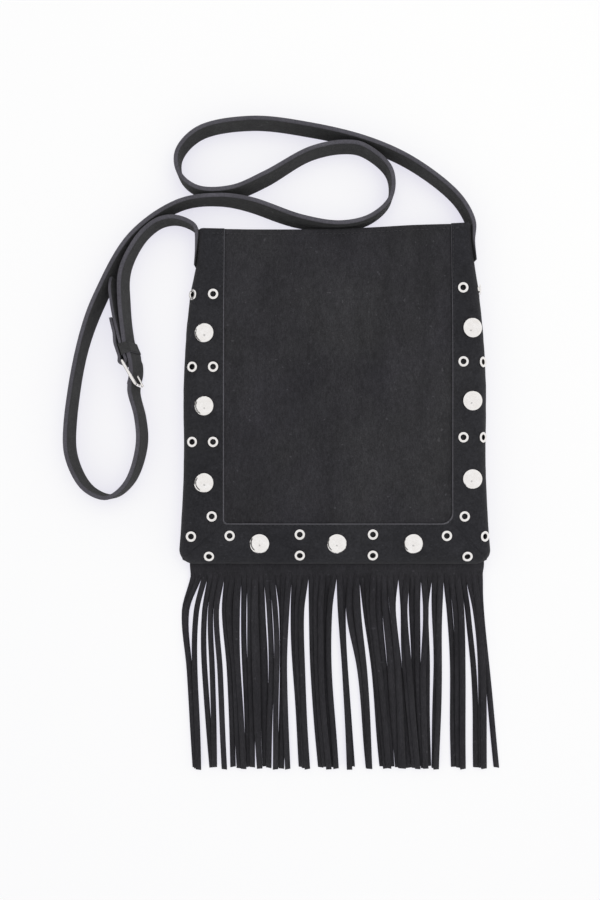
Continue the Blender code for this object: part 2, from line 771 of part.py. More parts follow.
STRAP_TOP_ROUTE = (
    (226.3, 2.5), (214.8, 24.2), (179.5, 53.0), (141.7, 71.0), (91.5, 83.6), (41.4, 89.0),
    (-2.1, 80.1), (-18.9, 61.2), (-16.9, 43.9), (-2.1, 32.1), (25.8, 32.1), (53.7, 43.9),
    (91.5, 64.1), (119.5, 69.4), (135.9, 66.6), (157.3, 47.7), (157.8, 25.0), (142.0, 9.2),
    (117.0, 3.0), (85.5, 7.6), (41.4, 22.6), (14.3, 25.6), (-18.6, 20.1), (-57.2, -7.0),
    (-84.3, -53.0), (-95.4, -83.4), (-110.3, -160.3), (-109.2, -191.1), (-95.4, -216.5),
    (-76.9, -223.9), (-61.3, -212.0), (-51.4, -182.0), (-52.3, -157.0), (-57.2, -136.3),
    (-57.0, -128.0),
)  # fmt: skip
STRAP_INNER_ROUTE = (
    (-62.9, -86.3), (-66.0, -61.5), (-66.3, -42.4), (-63.3, -30.0), (-54.7, -13.6),
    (-45.9, -2.6), (-35.0, 5.3), (-23.9, 7.8), (-14.0, 6.1), (-5.6, 1.6),
)  # fmt: skip
TAB_ROUTE = ((-67.4, -86.4), (-70.7, -73.1), (-72.9, -61.6), (-74.5, -49.2), (-74.6, -40.4))
HEEL_BAR = (-63.0, -110.7)
FRAME_TURN = math.radians(-60.4)
LEG_TURN = math.radians(108.7)


def route_points(route):
    """Plan points of a route given in millimetres from the left end of the mouth."""
    return [Vector((x / 1000 - MOUTH_WIDTH / 2, y / 1000 + HALF_HEIGHT)) for x, y in route]


def heel_bar():
    return route_points((HEEL_BAR,))[0]


def leg_axes():
    """Direction of the tab's legs away from the bar, and the direction to the strap beside them."""
    up = Vector((math.cos(LEG_TURN), math.sin(LEG_TURN)))
    return up, Vector((up.y, -up.x))


TAB_RADIUS = WIRE / 2 + BAR_CLEARANCE + TAB_LEATHER / 2
STRAP_BESIDE_TAB = TAB_LEATHER / 2 + LAYER_GAP + STRAP_LEATHER / 2
PRONG_EYE = WIRE / 2 + BAR_CLEARANCE + PRONG_WIRE
KEEPER_REACH = PRONG_EYE + KEEPER_CLEARANCE + KEEPER_LENGTH / 2
FRAME_HEIGHT = STRAP_WIDTH + 2 * WIRE + FRAME_ROOM
BUCKLE_LIFT = WIRE + FRAME_ROOM / 2 - STRAP_FLOOR_GAP


def lift_at(point):
    """Height of the strap's lower edge over the floor: it rises into the buckle."""
    near = 1 - (point - heel_bar()).length / BUCKLE_LIFT_LENGTH
    return STRAP_FLOOR_GAP + BUCKLE_LIFT * ease(near * 1.6)


def wall_x(side, y):
    """Where the side of the bag stands at this height, on the straight pieces of its outline."""
    line = outline()
    line = line[: SIDE_STEPS + 1] if side < 0 else line[: -SIDE_STEPS - 2 : -1]
    for above, below in zip(line, line[1:]):
        if y >= below.y:
            return mix(below.x, above.x, (y - below.y) / (above.y - below.y))
    return line[-1].x


def beside_wall(side, y):
    """Plan point of the strap where it is sewn against the side of the bag."""
    out = STRAP_WALL_GAP + STRAP_LEATHER / 2
    return Vector((wall_x(side, y) + out * side, y))


def sewn_end(side):
    top = mouth_y(side * MOUTH_WIDTH / 2)
    return [beside_wall(side, top - STRAP_SEWN_LENGTH * share) for share in (0.0, 0.5, 1.0)]


def strap_line():
    up, beside = leg_axes()
    pair = heel_bar() + beside * (TAB_RADIUS + STRAP_BESIDE_TAB)
    frame_run = Vector((math.cos(FRAME_TURN), math.sin(FRAME_TURN)))
    frame_side = Vector((-frame_run.y, frame_run.x))
    crossing = heel_bar() + frame_run * FRAME_LENGTH * 0.56
    points = sewn_end(1)[::-1] + route_points(STRAP_TOP_ROUTE)
    points.append(heel_bar() + frame_run * FRAME_LENGTH * 0.86 - frame_side * 0.0052)
    points.append(crossing + frame_side * 0.0006)
    points.append(pair + up * 0.0005)
    points.append(pair + up * (KEEPER_REACH + KEEPER_LENGTH / 2 + 0.001))
    points += route_points(STRAP_INNER_ROUTE)
    points += sewn_end(-1)
    return spline(points, 3)


def tab_line():
    """From the end of the short leg, round the heel bar and up the long leg."""
    up, beside = leg_axes()
    bar = heel_bar()
    leg = bar + beside * TAB_RADIUS
    past_keeper = KEEPER_REACH + KEEPER_LENGTH / 2 + 0.001
    long_leg = [leg + up * 0.003, leg + up * past_keeper, *route_points(TAB_ROUTE)]
    long_line = spline(long_leg, 3)
    short = []
    apart = TAB_LEATHER + LAYER_GAP
    wide = TAB_LEATHER + KEEPER_LEATHER + 2 * LAYER_GAP
    end_y = route_points(((0, -73.5),))[0].y
    for k in range(len(long_line) - 1):
        point = long_line[k]
        if point.y > end_y:
            break
        run = (long_line[k + 1] - point).normalized()
        along = (point - leg).dot(up)
        if along < past_keeper:
            offset = mix(2 * TAB_RADIUS, wide, ease(along / (KEEPER_REACH - KEEPER_LENGTH / 2)))
        else:
            offset = mix(wide, apart, ease((along - past_keeper) / 0.010))
        short.append(point + Vector((-run.y, run.x)) * offset)
    wrap = []
    for k in range(11):
        turned = LEG_TURN + math.pi / 2 + math.pi * k / 10
        wrap.append(bar + Vector((math.cos(turned), math.sin(turned))) * TAB_RADIUS)
    return short[::-1] + wrap + long_line


def upright_strip(name, line, thickness, width, taper, slot):
    """Strip of leather standing on its edge, with its last part cut to a rounded point."""
    lengths = [0.0]
    for a, b in zip(line, line[1:]):
        lengths.append(lengths[-1] + (b - a).length)
    points, faces = [], []
    for k, point in enumerate(line):
        before, after = line[max(k - 1, 0)], line[min(k + 1, len(line) - 1)]
        run = (after - before).normalized()
        side = Vector((-run.y, run.x)) * thickness / 2
        low = lift_at(point)
        left = lengths[-1] - lengths[k]
        narrow = 0.0
        if left < taper:
            narrow = width * 0.32 * (1 - left / taper) ** 1.6
        for z in (low + narrow, low + width - narrow):
            points.append((point.x - side.x, point.y - side.y, z))
            points.append((point.x + side.x, point.y + side.y, z))
        if k:
            a, b = 4 * k - 4, 4 * k
            for first, second in ((0, 1), (1, 3), (3, 2), (2, 0)):
                faces.append([a + first, a + second, b + second, b + first])
    last = 4 * len(line) - 4
    faces += [[0, 2, 3, 1], [last, last + 1, last + 3, last + 2]]
    return add_object(name, mesh_of(name, points, faces, 50), slot)


def box_cutter(name, centre, turn, size):
    mesh = bpy.data.meshes.new(name)
    bm = bmesh.new()
    bmesh.ops.create_cube(bm, size=1.0)
    bmesh.ops.scale(bm, vec=size, verts=bm.verts)
    place = Matrix.Translation(centre) @ Matrix.Rotation(turn, 4, "Z")
    bmesh.ops.transform(bm, matrix=place, verts=bm.verts)
    bm.to_mesh(mesh)
    bm.free()
    cutter = bpy.data.objects.new(name, mesh)
    bpy.context.scene.collection.objects.link(cutter)
    cutter.hide_render = True
    cutter.display_type = "WIRE"
    return cutter


def cut(obj, cutter):
    modifier = obj.modifiers.new(cutter.name, "BOOLEAN")
    modifier.object = cutter
    modifier.solver = "EXACT"
    modifier.operation = "DIFFERENCE"


def make_straps(slots):
    strap = upright_strip("shoulder_strap", strap_line(), STRAP_LEATHER, STRAP_WIDTH, 0.0, slots)
    tab = upright_strip("buckle_tab", tab_line(), TAB_LEATHER, STRAP_WIDTH, TAB_POINT, slots)
    bar = heel_bar()
    middle = FRAME_HEIGHT / 2
    run = Vector((math.cos(FRAME_TURN), math.sin(FRAME_TURN)))
    side = Vector((-run.y, run.x))
    aside = WIRE / 2 + BAR_CLEARANCE + PRONG_WIRE / 2
    opening = PRONG_WIRE + 2 * PRONG_HOLE_CLEARANCE
    reach = bar + run * FRAME_LENGTH * 0.55 + side * aside
    hole = box_cutter(
        "strap_hole",
        (reach.x, reach.y, middle),
        FRAME_TURN,
        (FRAME_LENGTH * 0.9, opening, opening),
    )
    cut(strap, hole)
    around = 2 * (TAB_RADIUS + TAB_LEATHER / 2 + 0.0006)
    slot = box_cutter("tab_slot", (bar.x, bar.y, middle), FRAME_TURN, (around, around, opening))
    cut(tab, slot)
    make_keeper(slots)


def make_keeper(slot):
    """Loop of leather that holds the long leg of the tab against the strap."""
    up, beside = leg_axes()
    bar = heel_bar()
    room = LAYER_GAP * 0.75
    near = -TAB_LEATHER / 2 - room
    far = STRAP_BESIDE_TAB + STRAP_LEATHER / 2 + room
    origin = bar + beside * TAB_RADIUS + up * KEEPER_REACH
    ends = [lift_at(origin + up * KEEPER_LENGTH * step) for step in (-0.5, 0.5)]
    low = min(ends) - room
    high = max(ends) + STRAP_WIDTH + room
    points = []
    for step in (-KEEPER_LENGTH / 2, KEEPER_LENGTH / 2):
        for grow in (0.0, KEEPER_LEATHER):
            for across, z in (
                (near - grow, low - grow),
                (far + grow, low - grow),
                (far + grow, high + grow),
                (near - grow, high + grow),
            ):
                plan = origin + up * step + beside * across
                points.append((plan.x, plan.y, z))
    faces = []
    for k in range(4):
        after = (k + 1) % 4
        faces.append([k, after, 8 + after, 8 + k])
        faces.append([4 + k, 12 + k, 12 + after, 4 + after])
        faces.append([k, 4 + k, 4 + after, after])
        faces.append([8 + k, 8 + after, 12 + after, 12 + k])
    keeper = add_object("strap_keeper", mesh_of("strap_keeper", points, faces, 30), slot)
    soften = keeper.modifiers.new("soft_edges", "BEVEL")
    soften.width = 0.0004
    soften.segments = 1
    soften.limit_method = "ANGLE"
    return keeper


# Buckle


def wire(name, path, across, radius, closed, slot):
    """Round wire along a flat path. across is the normal of the path's plane."""
    sides = 8
    bm = bmesh.new()
    rings = []
    count = len(path)
    for k, point in enumerate(path):
        before = path[k - 1] if closed or k else path[0]
        after = path[(k + 1) % count] if closed or k < count - 1 else path[-1]
        run = (after - before).normalized()
        side = across.cross(run).normalized()
        ring = []
        for s in range(sides):
            turned = 2 * math.pi * (s + 0.5) / sides
            out = side * math.cos(turned) + across * math.sin(turned)
            ring.append(bm.verts.new(point + out * radius))
        rings.append(ring)
    pairs = list(zip(rings, rings[1:]))
    if closed:
        pairs.append((rings[-1], rings[0]))
    for a, b in pairs:
        for s in range(sides):
            after = (s + 1) % sides
            bm.faces.new((a[s], a[after], b[after], b[s]))
    if not closed:
        bm.faces.new(rings[0])
        bm.faces.new(rings[-1])
    bmesh.ops.recalc_face_normals(bm, faces=bm.faces)
    mesh = bpy.data.meshes.new(name)
    bm.to_mesh(mesh)
    bm.free()
    mesh.shade_smooth()
    mesh.set_sharp_from_angle(angle=math.radians(50))
    return add_object(name, mesh, slot)


def make_buckle(slot):
    """Wire frame on its heel bar, and the prong that goes round the same bar."""
    bar = heel_bar()
    place = Matrix.Translation((bar.x, bar.y, FRAME_HEIGHT / 2))
    place = place @ Matrix.Rotation(FRAME_TURN, 4, "Z")
    high = (FRAME_HEIGHT - WIRE) / 2
    path = []
    for cx, cz, start in (
        (FRAME_LENGTH - FRAME_CORNER, high - FRAME_CORNER, 0),
        (FRAME_CORNER, high - FRAME_CORNER, 90),
        (FRAME_CORNER, FRAME_CORNER - high, 180),
        (FRAME_LENGTH - FRAME_CORNER, FRAME_CORNER - high, 270),
    ):
        for k in range(5):
            turned = math.radians(start + 22.5 * k)
            x = cx + FRAME_CORNER * math.cos(turned)
            z = cz + FRAME_CORNER * math.sin(turned)
            path.append(Vector((x, 0.0, z)))
    frame = wire("buckle_frame", path, Vector((0, 1, 0)), WIRE / 2, True, slot)
    frame.matrix_world = place

    around = WIRE / 2 + BAR_CLEARANCE + PRONG_WIRE / 2
    path = []
    for k in range(13):
        turned = math.radians(330 - 20 * k)
        path.append(Vector((math.cos(turned), math.sin(turned), 0.0)) * around)
    tip = FRAME_LENGTH + WIRE / 2 + PRONG_OVERHANG
    for share in (0.35, 0.7, 1.0):
        path.append(Vector((tip * share, around, 0.0)))
    prong = wire("buckle_prong", path, Vector((0, 0, 1)), PRONG_WIRE / 2, False, slot)
    prong.matrix_world = place


clear_scene()
suede = material("black_suede", (0.030, 0.030, 0.032), 0.95)
panel_suede = material("panel_suede", (0.033, 0.033, 0.032), 0.95)
fringe_suede = material("fringe_suede", (0.027, 0.027, 0.030), 0.95)
strap_leather = material("strap_leather", (0.040, 0.040, 0.043), 0.80)
lining_cloth = material("lining_cloth", (0.020, 0.020, 0.022), 0.90)
nickel = material("nickel", (0.72, 0.71, 0.70), 0.18, 1.0)

strips = border_pieces(suede)
make_front_panel(panel_suede)
make_back_panel(suede)
make_lining(lining_cloth)
place_metal(strips, nickel)
make_fringe(fringe_suede)
make_straps(strap_leather)
make_buckle(nickel)
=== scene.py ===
"""A fringed suede shoulder bag, laid on its back on a pale floor and seen from straight above.

Metres, +Z up. The origin is the centre of the back panel on the floor, +Y points to the mouth.
"""

import math
import random

import bmesh
import bpy
import numpy as np
from mathutils import Matrix, Vector, noise


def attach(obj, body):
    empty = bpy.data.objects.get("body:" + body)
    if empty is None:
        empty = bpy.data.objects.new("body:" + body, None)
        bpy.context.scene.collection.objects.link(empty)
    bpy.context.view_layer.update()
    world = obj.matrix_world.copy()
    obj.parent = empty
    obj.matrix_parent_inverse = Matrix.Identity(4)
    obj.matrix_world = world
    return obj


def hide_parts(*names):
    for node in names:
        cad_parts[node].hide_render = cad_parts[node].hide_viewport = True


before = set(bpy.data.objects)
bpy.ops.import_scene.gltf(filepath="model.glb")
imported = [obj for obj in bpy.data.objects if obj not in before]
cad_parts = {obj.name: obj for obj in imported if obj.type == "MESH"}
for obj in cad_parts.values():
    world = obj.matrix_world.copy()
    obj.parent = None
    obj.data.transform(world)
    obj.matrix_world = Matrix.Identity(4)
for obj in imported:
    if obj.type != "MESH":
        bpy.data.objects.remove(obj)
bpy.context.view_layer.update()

# Camera
# The photograph is taken from straight above the sheet of paper that the bag lies on.

camera_data = bpy.data.cameras.new("camera")
camera_data.lens = 28.2
camera_data.sensor_width = 36.0
camera = bpy.data.objects.new("camera", camera_data)
camera.location = (-0.0302, -0.0450, 0.6000)
bpy.context.scene.collection.objects.link(camera)
bpy.context.scene.camera = camera

# Floor and light
# White paper on a table, under a broad soft light from above and a bright room. One dark side
# of the room shows as a thin crescent in the domed studs, and what hangs above as a faint mark.

PAPER = (0.905, 0.903, 0.915)
PAPER_SEEN = (0.345, 0.360, 0.235)
PAPER_GLOW = (0.621, 0.605, 0.735)
BACKDROP = 0.965
ROOM_COLOUR = (0.99, 0.99, 1.0)
ROOM_LIGHT = 0.80
ROOM_GLOSS = 0.97
ROOM_DARK = 0.06
DARK_SIDE = (-0.97, -0.24, 0.0)
DARK_FOOT = (0.03, 0.06)
DARK_TOP = (0.23, 0.28)
DARK_WIDTH = (0.64, 0.80)
MARK_ABOVE = (0.0, -0.34, 0.94)
MARK_WIDTH = (0.984, 0.997)
MARK_LEVEL = 0.55
SOFTBOX_SIZE = 1.6
SOFTBOX_POWER = 9.0


def fill(tree, node, inputs):
    """Gives each of these inputs of a node a value, or the socket that feeds it."""
    for place, value in inputs.items():
        if isinstance(value, bpy.types.NodeSocket):
            tree.links.new(value, node.inputs[place])
        else:
            node.inputs[place].default_value = value


def combine(tree, sockets, operation="MULTIPLY"):
    result = sockets[0]
    for socket in sockets[1:]:
        both = tree.nodes.new("ShaderNodeMath")
        both.operation = operation
        fill(tree, both, {0: result, 1: socket})
        result = both.outputs["Value"]
    return result


def step_of(tree, socket, start, end, low=0.0, high=1.0, kind="SMOOTHSTEP"):
    """Step of a value from low to high between start and end."""
    step = tree.nodes.new("ShaderNodeMapRange")
    step.interpolation_type = kind
    ends = {"From Min": start, "From Max": end, "To Min": low, "To Max": high}
    fill(tree, step, {"Value": socket, **ends})
    return step.outputs["Result"]


def seen_ray(tree):
    """1 for what the camera sees, also in metal or through glass, and 0 for the light on things."""
    rays = tree.nodes.new("ShaderNodeLightPath").outputs
    seen = [rays["Is Camera Ray"], rays["Is Glossy Ray"], rays["Is Transmission Ray"]]
    return combine(tree, seen, "MAXIMUM")


def white_paper():
    """Plain paper that lights the bag as it is, and is seen a little nearer to white."""
    paper = bpy.data.materials.new("paper")
    paper.use_nodes = True
    tree = paper.node_tree
    shader = tree.nodes["Principled BSDF"]
    fill(tree, shader, {"Base Color": (*PAPER, 1.0), "Roughness": 1.0, "Specular IOR Level": 0.0})
    lit = tree.nodes.new("ShaderNodeBsdfDiffuse")
    fill(tree, lit, {"Color": (*PAPER_SEEN, 1.0)})
    glow = tree.nodes.new("ShaderNodeEmission")
    fill(tree, glow, {"Color": (*PAPER_GLOW, 1.0)})
    both = tree.nodes.new("ShaderNodeAddShader")
    fill(tree, both, {0: lit.outputs["BSDF"], 1: glow.outputs["Emission"]})
    choose = tree.nodes.new("ShaderNodeMixShader")
    shaders = {1: shader.outputs["BSDF"], 2: both.outputs["Shader"]}
    fill(tree, choose, {"Fac": seen_ray(tree), **shaders})
    tree.links.new(choose.outputs["Shader"], tree.nodes["Material Output"].inputs["Surface"])
    return paper


def make_floor():
    bm = bmesh.new()
    bmesh.ops.create_grid(bm, x_segments=1, y_segments=1, size=3.0)
    mesh = bpy.data.meshes.new("floor")
    bm.to_mesh(mesh)
    bm.free()
    mesh.materials.append(white_paper())
    floor = bpy.data.objects.new("floor", mesh)
    bpy.context.scene.collection.objects.link(floor)


def make_light():
    lamp = bpy.data.lights.new("softbox", "AREA")
    lamp.shape = "SQUARE"
    lamp.size = SOFTBOX_SIZE
    lamp.energy = SOFTBOX_POWER
    softbox = bpy.data.objects.new("softbox", lamp)
    softbox.location = (0.25, 0.30, 1.5)
    softbox.rotation_euler = (math.radians(-8), math.radians(8), 0)
    softbox.visible_glossy = False
    bpy.context.scene.collection.objects.link(softbox)
    bpy.context.scene.view_settings.view_transform = "Standard"


def facing(tree, direction, start, end):
    """Smooth step of how nearly a direction of the room faces this way."""
    way = tree.nodes.new("ShaderNodeTexCoord")
    dot = tree.nodes.new("ShaderNodeVectorMath")
    dot.operation = "DOT_PRODUCT"
    fill(tree, dot, {0: way.outputs["Generated"], 1: direction})
    return step_of(tree, dot.outputs["Value"], start, end)


def choice(tree, share, first, second):
    """One number where share is 0, another where it is 1."""
    blend = tree.nodes.new("ShaderNodeMix")
    fill(tree, blend, {"Factor": share, "A": first, "B": second})
    return blend.outputs["Result"]


def make_room():
    """Even light on things, and what metal mirrors: a bright room with one dark side."""
    world = bpy.data.worlds.new("room")
    bpy.context.scene.world = world
    world.use_nodes = True
    tree = world.node_tree
    rays = tree.nodes.new("ShaderNodeLightPath")
    way = tree.nodes.new("ShaderNodeTexCoord")
    split = tree.nodes.new("ShaderNodeSeparateXYZ")
    tree.links.new(way.outputs["Generated"], split.inputs[0])
    above_floor = step_of(tree, split.outputs["Z"], *DARK_FOOT)
    below_light = step_of(tree, split.outputs["Z"], *DARK_TOP, 1.0, 0.0)
    band = combine(tree, [above_floor, below_light, facing(tree, DARK_SIDE, *DARK_WIDTH)])
    mirrored = choice(tree, band, ROOM_GLOSS, ROOM_DARK)
    mirrored = choice(tree, facing(tree, MARK_ABOVE, *MARK_WIDTH), mirrored, MARK_LEVEL)
    shown = choice(tree, rays.outputs["Is Camera Ray"], ROOM_LIGHT, BACKDROP)
    level = choice(tree, rays.outputs["Is Glossy Ray"], shown, mirrored)
    fill(tree, tree.nodes["Background"], {"Strength": level, "Color": (*ROOM_COLOUR, 1.0)})


make_floor()
make_light()
make_room()

# Suede, cut edges and thread
# Charcoal suede is napped: where the nap lies another way it looks lighter or darker, in soft
# clouds. Its raw cut edges are a lighter grey.


def nodes_of(name, roughness, level, sheen=0.0, metallic=0.0):
    """A new material's tree and shader, with the numbers that are the same all over."""
    made = bpy.data.materials.new(name)
    made.use_nodes = True
    shader = made.node_tree.nodes["Principled BSDF"]
    values = {"Roughness": roughness, "Specular IOR Level": level, "Metallic": metallic}
    fill(made.node_tree, shader, {**values, "Sheen Weight": sheen, "Sheen Roughness": 0.5})
    return made, made.node_tree, shader


def noise_of(tree, scale, low, high, detail=2.0, stretch=(1, 1, 1), window=(0.28, 0.72)):
    """Noise with this many cycles a metre; the window of its values is spread from low to high."""
    coords = tree.nodes.new("ShaderNodeTexCoord")
    turn = tree.nodes.new("ShaderNodeMapping")
    fill(tree, turn, {"Vector": coords.outputs["Object"], "Scale": [scale * s for s in stretch]})
    texture = tree.nodes.new("ShaderNodeTexNoise")
    fill(tree, texture, {"Vector": turn.outputs["Vector"], "Scale": 1.0, "Detail": detail})
    return step_of(tree, texture.outputs["Fac"], *window, low, high, "LINEAR")


def tint(tree, shader, colour, other, share, strength):
    """Base colour that runs from one colour to another with share, made lighter by strength."""
    blend = tree.nodes.new("ShaderNodeMix")
    blend.data_type = "RGBA"
    fill(tree, blend, {"Factor": share, "A": (*colour, 1.0), "B": (*other, 1.0)})
    scale = tree.nodes.new("ShaderNodeVectorMath")
    scale.operation = "SCALE"
    fill(tree, scale, {0: blend.outputs["Result"], "Scale": strength})
    tree.links.new(scale.outputs["Vector"], shader.inputs["Base Color"])


def bump(tree, shader, height, distance, strength):
    made = tree.nodes.new("ShaderNodeBump")
    fill(tree, made, {"Height": height, "Distance": distance, "Strength": strength})
    tree.links.new(made.outputs["Normal"], shader.inputs["Normal"])


def suede(name, colour, other, clouds=0.14, run=(1, 1, 1), per_strand=False):
    """Napped suede that runs between two near greys, brushed along one direction."""
    made, tree, shader = nodes_of(name, 0.95, 0.12, sheen=0.06)
    strength = [
        noise_of(tree, 26, 1 - clouds, 1 + clouds, 3.0, run),
        noise_of(tree, 90, 0.92, 1.08, 3.0, run),
        noise_of(tree, 210, 0.90, 1.10, 3.0, run),
        noise_of(tree, 520, 0.80, 1.20, 3.0, run),
        noise_of(tree, 1500, 0.70, 1.30, 2.0, run),
        noise_of(tree, 330, 1.0, 1.7, 0.0, window=(0.80, 0.84)),
    ]
    if per_strand:
        shade = tree.nodes.new("ShaderNodeAttribute")
        shade.attribute_name = "shade"
        strength.append(shade.outputs["Fac"])
    tint(tree, shader, colour, other, noise_of(tree, 17, 0, 1, 2.0), combine(tree, strength))
    nap = combine(tree, [noise_of(tree, 2300, 0, 1, 3.0, run), noise_of(tree, 170, 0.7, 1)])
    bump(tree, shader, nap, 0.0003, 0.55)
    return made


def cut_edge(name, colour):
    """Raw cut edge of leather: fibres, paler than the nap."""
    made, tree, shader = nodes_of(name, 0.85, 0.2)
    fibre = combine(tree, [noise_of(tree, 900, 0.75, 1.25, 3.0), noise_of(tree, 60, 0.85, 1.15)])
    tint(tree, shader, colour, colour, noise_of(tree, 50, 0, 1), fibre)
    bump(tree, shader, noise_of(tree, 2600, 0, 1, 3.0), 0.0002, 0.5)
    return made


SUEDE = (0.0206, 0.0205, 0.0239)
SUEDE_OTHER = (0.0243, 0.0242, 0.0268)
PANEL = (0.0256, 0.0247, 0.0286)
PANEL_OTHER = (0.0294, 0.0289, 0.0308)
EDGE = (0.094, 0.092, 0.103)

border_suede = suede("border_suede", SUEDE, SUEDE_OTHER)
panel_suede = suede("panel_suede", PANEL, PANEL_OTHER, clouds=0.20, run=(1.5, 0.6, 1))
back_suede = suede("back_suede", SUEDE, SUEDE_OTHER)
edge_grey = cut_edge("edge_grey", EDGE)


def sewing_thread(name, colour):
    made, tree, shader = nodes_of(name, 0.55, 0.3, sheen=0.1)
    lighter = [1.35 * c for c in colour]
    tint(tree, shader, colour, lighter, noise_of(tree, 400, 0, 1), noise_of(tree, 5000, 0.8, 1.2))
    return made


thread = sewing_thread("thread", (0.026, 0.026, 0.029))
seam_thread = sewing_thread("seam_thread", (0.014, 0.014, 0.016))


def finish_piece(name, bm, slots, nodes=(), body="bag", smooth=45):
    """Turns a bmesh into a shaded piece that rides on a body and stands for CAD nodes."""
    mesh = bpy.data.meshes.new(name)
    bm.to_mesh(mesh)
    bm.free()
    for slot in slots:
        mesh.materials.append(slot)
    mesh.shade_smooth()
    mesh.set_sharp_from_angle(angle=math.radians(smooth))
    piece = bpy.data.objects.new(name, mesh)
    bpy.context.scene.collection.objects.link(piece)
    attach(piece, body)
    if nodes:
        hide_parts(*nodes)
    return piece


def add_sheet(bm, columns, rows, place):
    """Adds a sheet of squares, whose shares across and along are turned into points."""
    made = bmesh.ops.create_grid(bm, x_segments=columns, y_segments=rows, size=0.5, calc_uvs=True)
    for vert in made["verts"]:
        vert.co = place(vert.co.x + 0.5, vert.co.y + 0.5)
    return {face for vert in made["verts"] for face in vert.link_faces}


def grid_of(columns, rows, place):
    bm = bmesh.new()
    bm.loops.layers.uv.new("UVMap")
    add_sheet(bm, columns, rows, place)
    return bm


def thicken(piece, thickness, rim_slot=0, offset=-1.0):
    solid = piece.modifiers.new("thickness", "SOLIDIFY")
    solid.thickness = thickness
    solid.offset = offset
    solid.use_even_offset = False
    solid.material_offset_rim = rim_slot


def mix(a, b, share):
    return a + (b - a) * share


def ease(share):
    share = min(max(share, 0.0), 1.0)
    return share * share * (3 - 2 * share)


# Front of the bag
# A centre panel of suede runs under a mitred border on three sides. The body is a soft shell:
# it rolls over at the sides, swells a little in the middle and sags at its open mouth.

BAG_HEIGHT = 0.279
HALF_HEIGHT = BAG_HEIGHT / 2
BAG_CENTRE = -0.0014
MOUTH_WIDTH = 0.2256
MIDDLE_WIDTH = 0.2508
BOTTOM_WIDTH = 0.2585
SHOULDER_WIDTH = 0.2405
BAG_DEPTH = 0.0235
MOUTH_SAG = 0.006
SAG_LENGTH = 0.075
MOUTH_DROP = 0.0012
MOUTH_TILT = 0.018
MOUTH_BOW = 0.0008
MOUTH_RISE = 0.0014
MOUTH_RISE_X = 0.066
MOUTH_RISE_WIDTH = 0.038
CROWN = 0.0025
UNEVEN = 0.0005
CORNER_RADIUS = 0.012
EDGE_RADIUS = 0.011
MOUTH_EDGE_RADIUS = 0.005
MOUTH_EDGE_LENGTH = 0.050
SWELLS = {-1: 0.0018, 0: 0.0, 1: 0.0031}
SEWN_LENGTH = 0.030
SWELL_LENGTH = 0.034
LEATHER = 0.0014
SEAM_GAP = 0.0003
PANEL_WIDTH = 0.1864
PANEL_SHIFT = 0.0010
SEAM_LEFT = PANEL_SHIFT - PANEL_WIDTH / 2
SEAM_RIGHT = PANEL_SHIFT + PANEL_WIDTH / 2
SEAM_Y = -HALF_HEIGHT + 0.0345
SEAM_RADII = (0.003, 0.009)
PANEL_OVERLAP = 0.004
SIDE_SEAM = 0.0066
HALF_WIDTHS = (
    (-HALF_HEIGHT + CORNER_RADIUS, BOTTOM_WIDTH / 2),
    (-0.38 * BAG_HEIGHT, MIDDLE_WIDTH / 2 + 0.0022),
    (-0.20 * BAG_HEIGHT, MIDDLE_WIDTH / 2),
    (0.05 * BAG_HEIGHT, MIDDLE_WIDTH / 2),
    (0.29 * BAG_HEIGHT, SHOULDER_WIDTH / 2),
    (0.40 * BAG_HEIGHT, MOUTH_WIDTH / 2),
    (0.55 * BAG_HEIGHT, MOUTH_WIDTH / 2),
)


def through(points, at):
    """Value at a place on the smooth curve through these (place, value) points."""
    if at <= points[0][0]:
        return points[0][1]
    if at >= points[-1][0]:
        return points[-1][1]
    last = len(points) - 1
    k = max(i for i in range(last) if points[i][0] <= at)

    def slope(i):
        low, high = points[max(i - 1, 0)], points[min(i + 1, last)]
        return (high[1] - low[1]) / (high[0] - low[0])

    (x0, y0), (x1, y1) = points[k], points[k + 1]
    span = x1 - x0
    t = (at - x0) / span
    start = (1 + 2 * t) * (1 - t) ** 2 * y0 + t * (1 - t) ** 2 * span * slope(k)
    return start + t * t * (3 - 2 * t) * y1 + t * t * (t - 1) * span * slope(k + 1)


def swell_at(y, side):
    """How far the side comes out here: most at the lower end of the sewn strap."""
    down = HALF_HEIGHT - y
    return SWELLS[side] * ease(down / SEWN_LENGTH) * (1 - ease((down - SEWN_LENGTH) / SWELL_LENGTH))


def half_width(y, side=0):
    """Half the width of the body at this height."""
    return through(HALF_WIDTHS, y) + swell_at(y, side)


def edge_radius(y):
    """Radius of the roll at the sides, which is tighter where the strap is sewn on."""
    share = ease((y - HALF_HEIGHT + MOUTH_EDGE_LENGTH) / MOUTH_EDGE_LENGTH)
    return mix(EDGE_RADIUS, MOUTH_EDGE_RADIUS, share)


def mouth_y(x):
    across = min(abs(2 * x / MOUTH_WIDTH), 1.0)
    raised = MOUTH_RISE * math.exp(-(((x - MOUTH_RISE_X) / MOUTH_RISE_WIDTH) ** 2))
    return HALF_HEIGHT + MOUTH_TILT * x - MOUTH_BOW * (1 - across**2) + raised


def front_z(x, y):
    """Height of the outer front surface."""
    across = min(abs(2 * (x - BAG_CENTRE) / MIDDLE_WIDTH), 1.0)
    along = min(abs(y / HALF_HEIGHT), 1.0)
    mouth = ease((y - HALF_HEIGHT + SAG_LENGTH) / SAG_LENGTH)
    crown = CROWN * (1 - across**2) * (1 - along**2)
    sag = MOUTH_SAG * mouth * (1 - across**2)
    swell = UNEVEN * math.sin(31 * x + 17 * y + 0.6) * math.sin(24 * y - 13 * x) * (1 - across**4)
    return BAG_DEPTH + crown - sag - MOUTH_DROP * mouth + swell


def ripple(x, y, size, height, seed=0.0):
    """Small unevenness of soft leather."""
    return height * noise.noise(Vector((x / size, y / size, seed)))


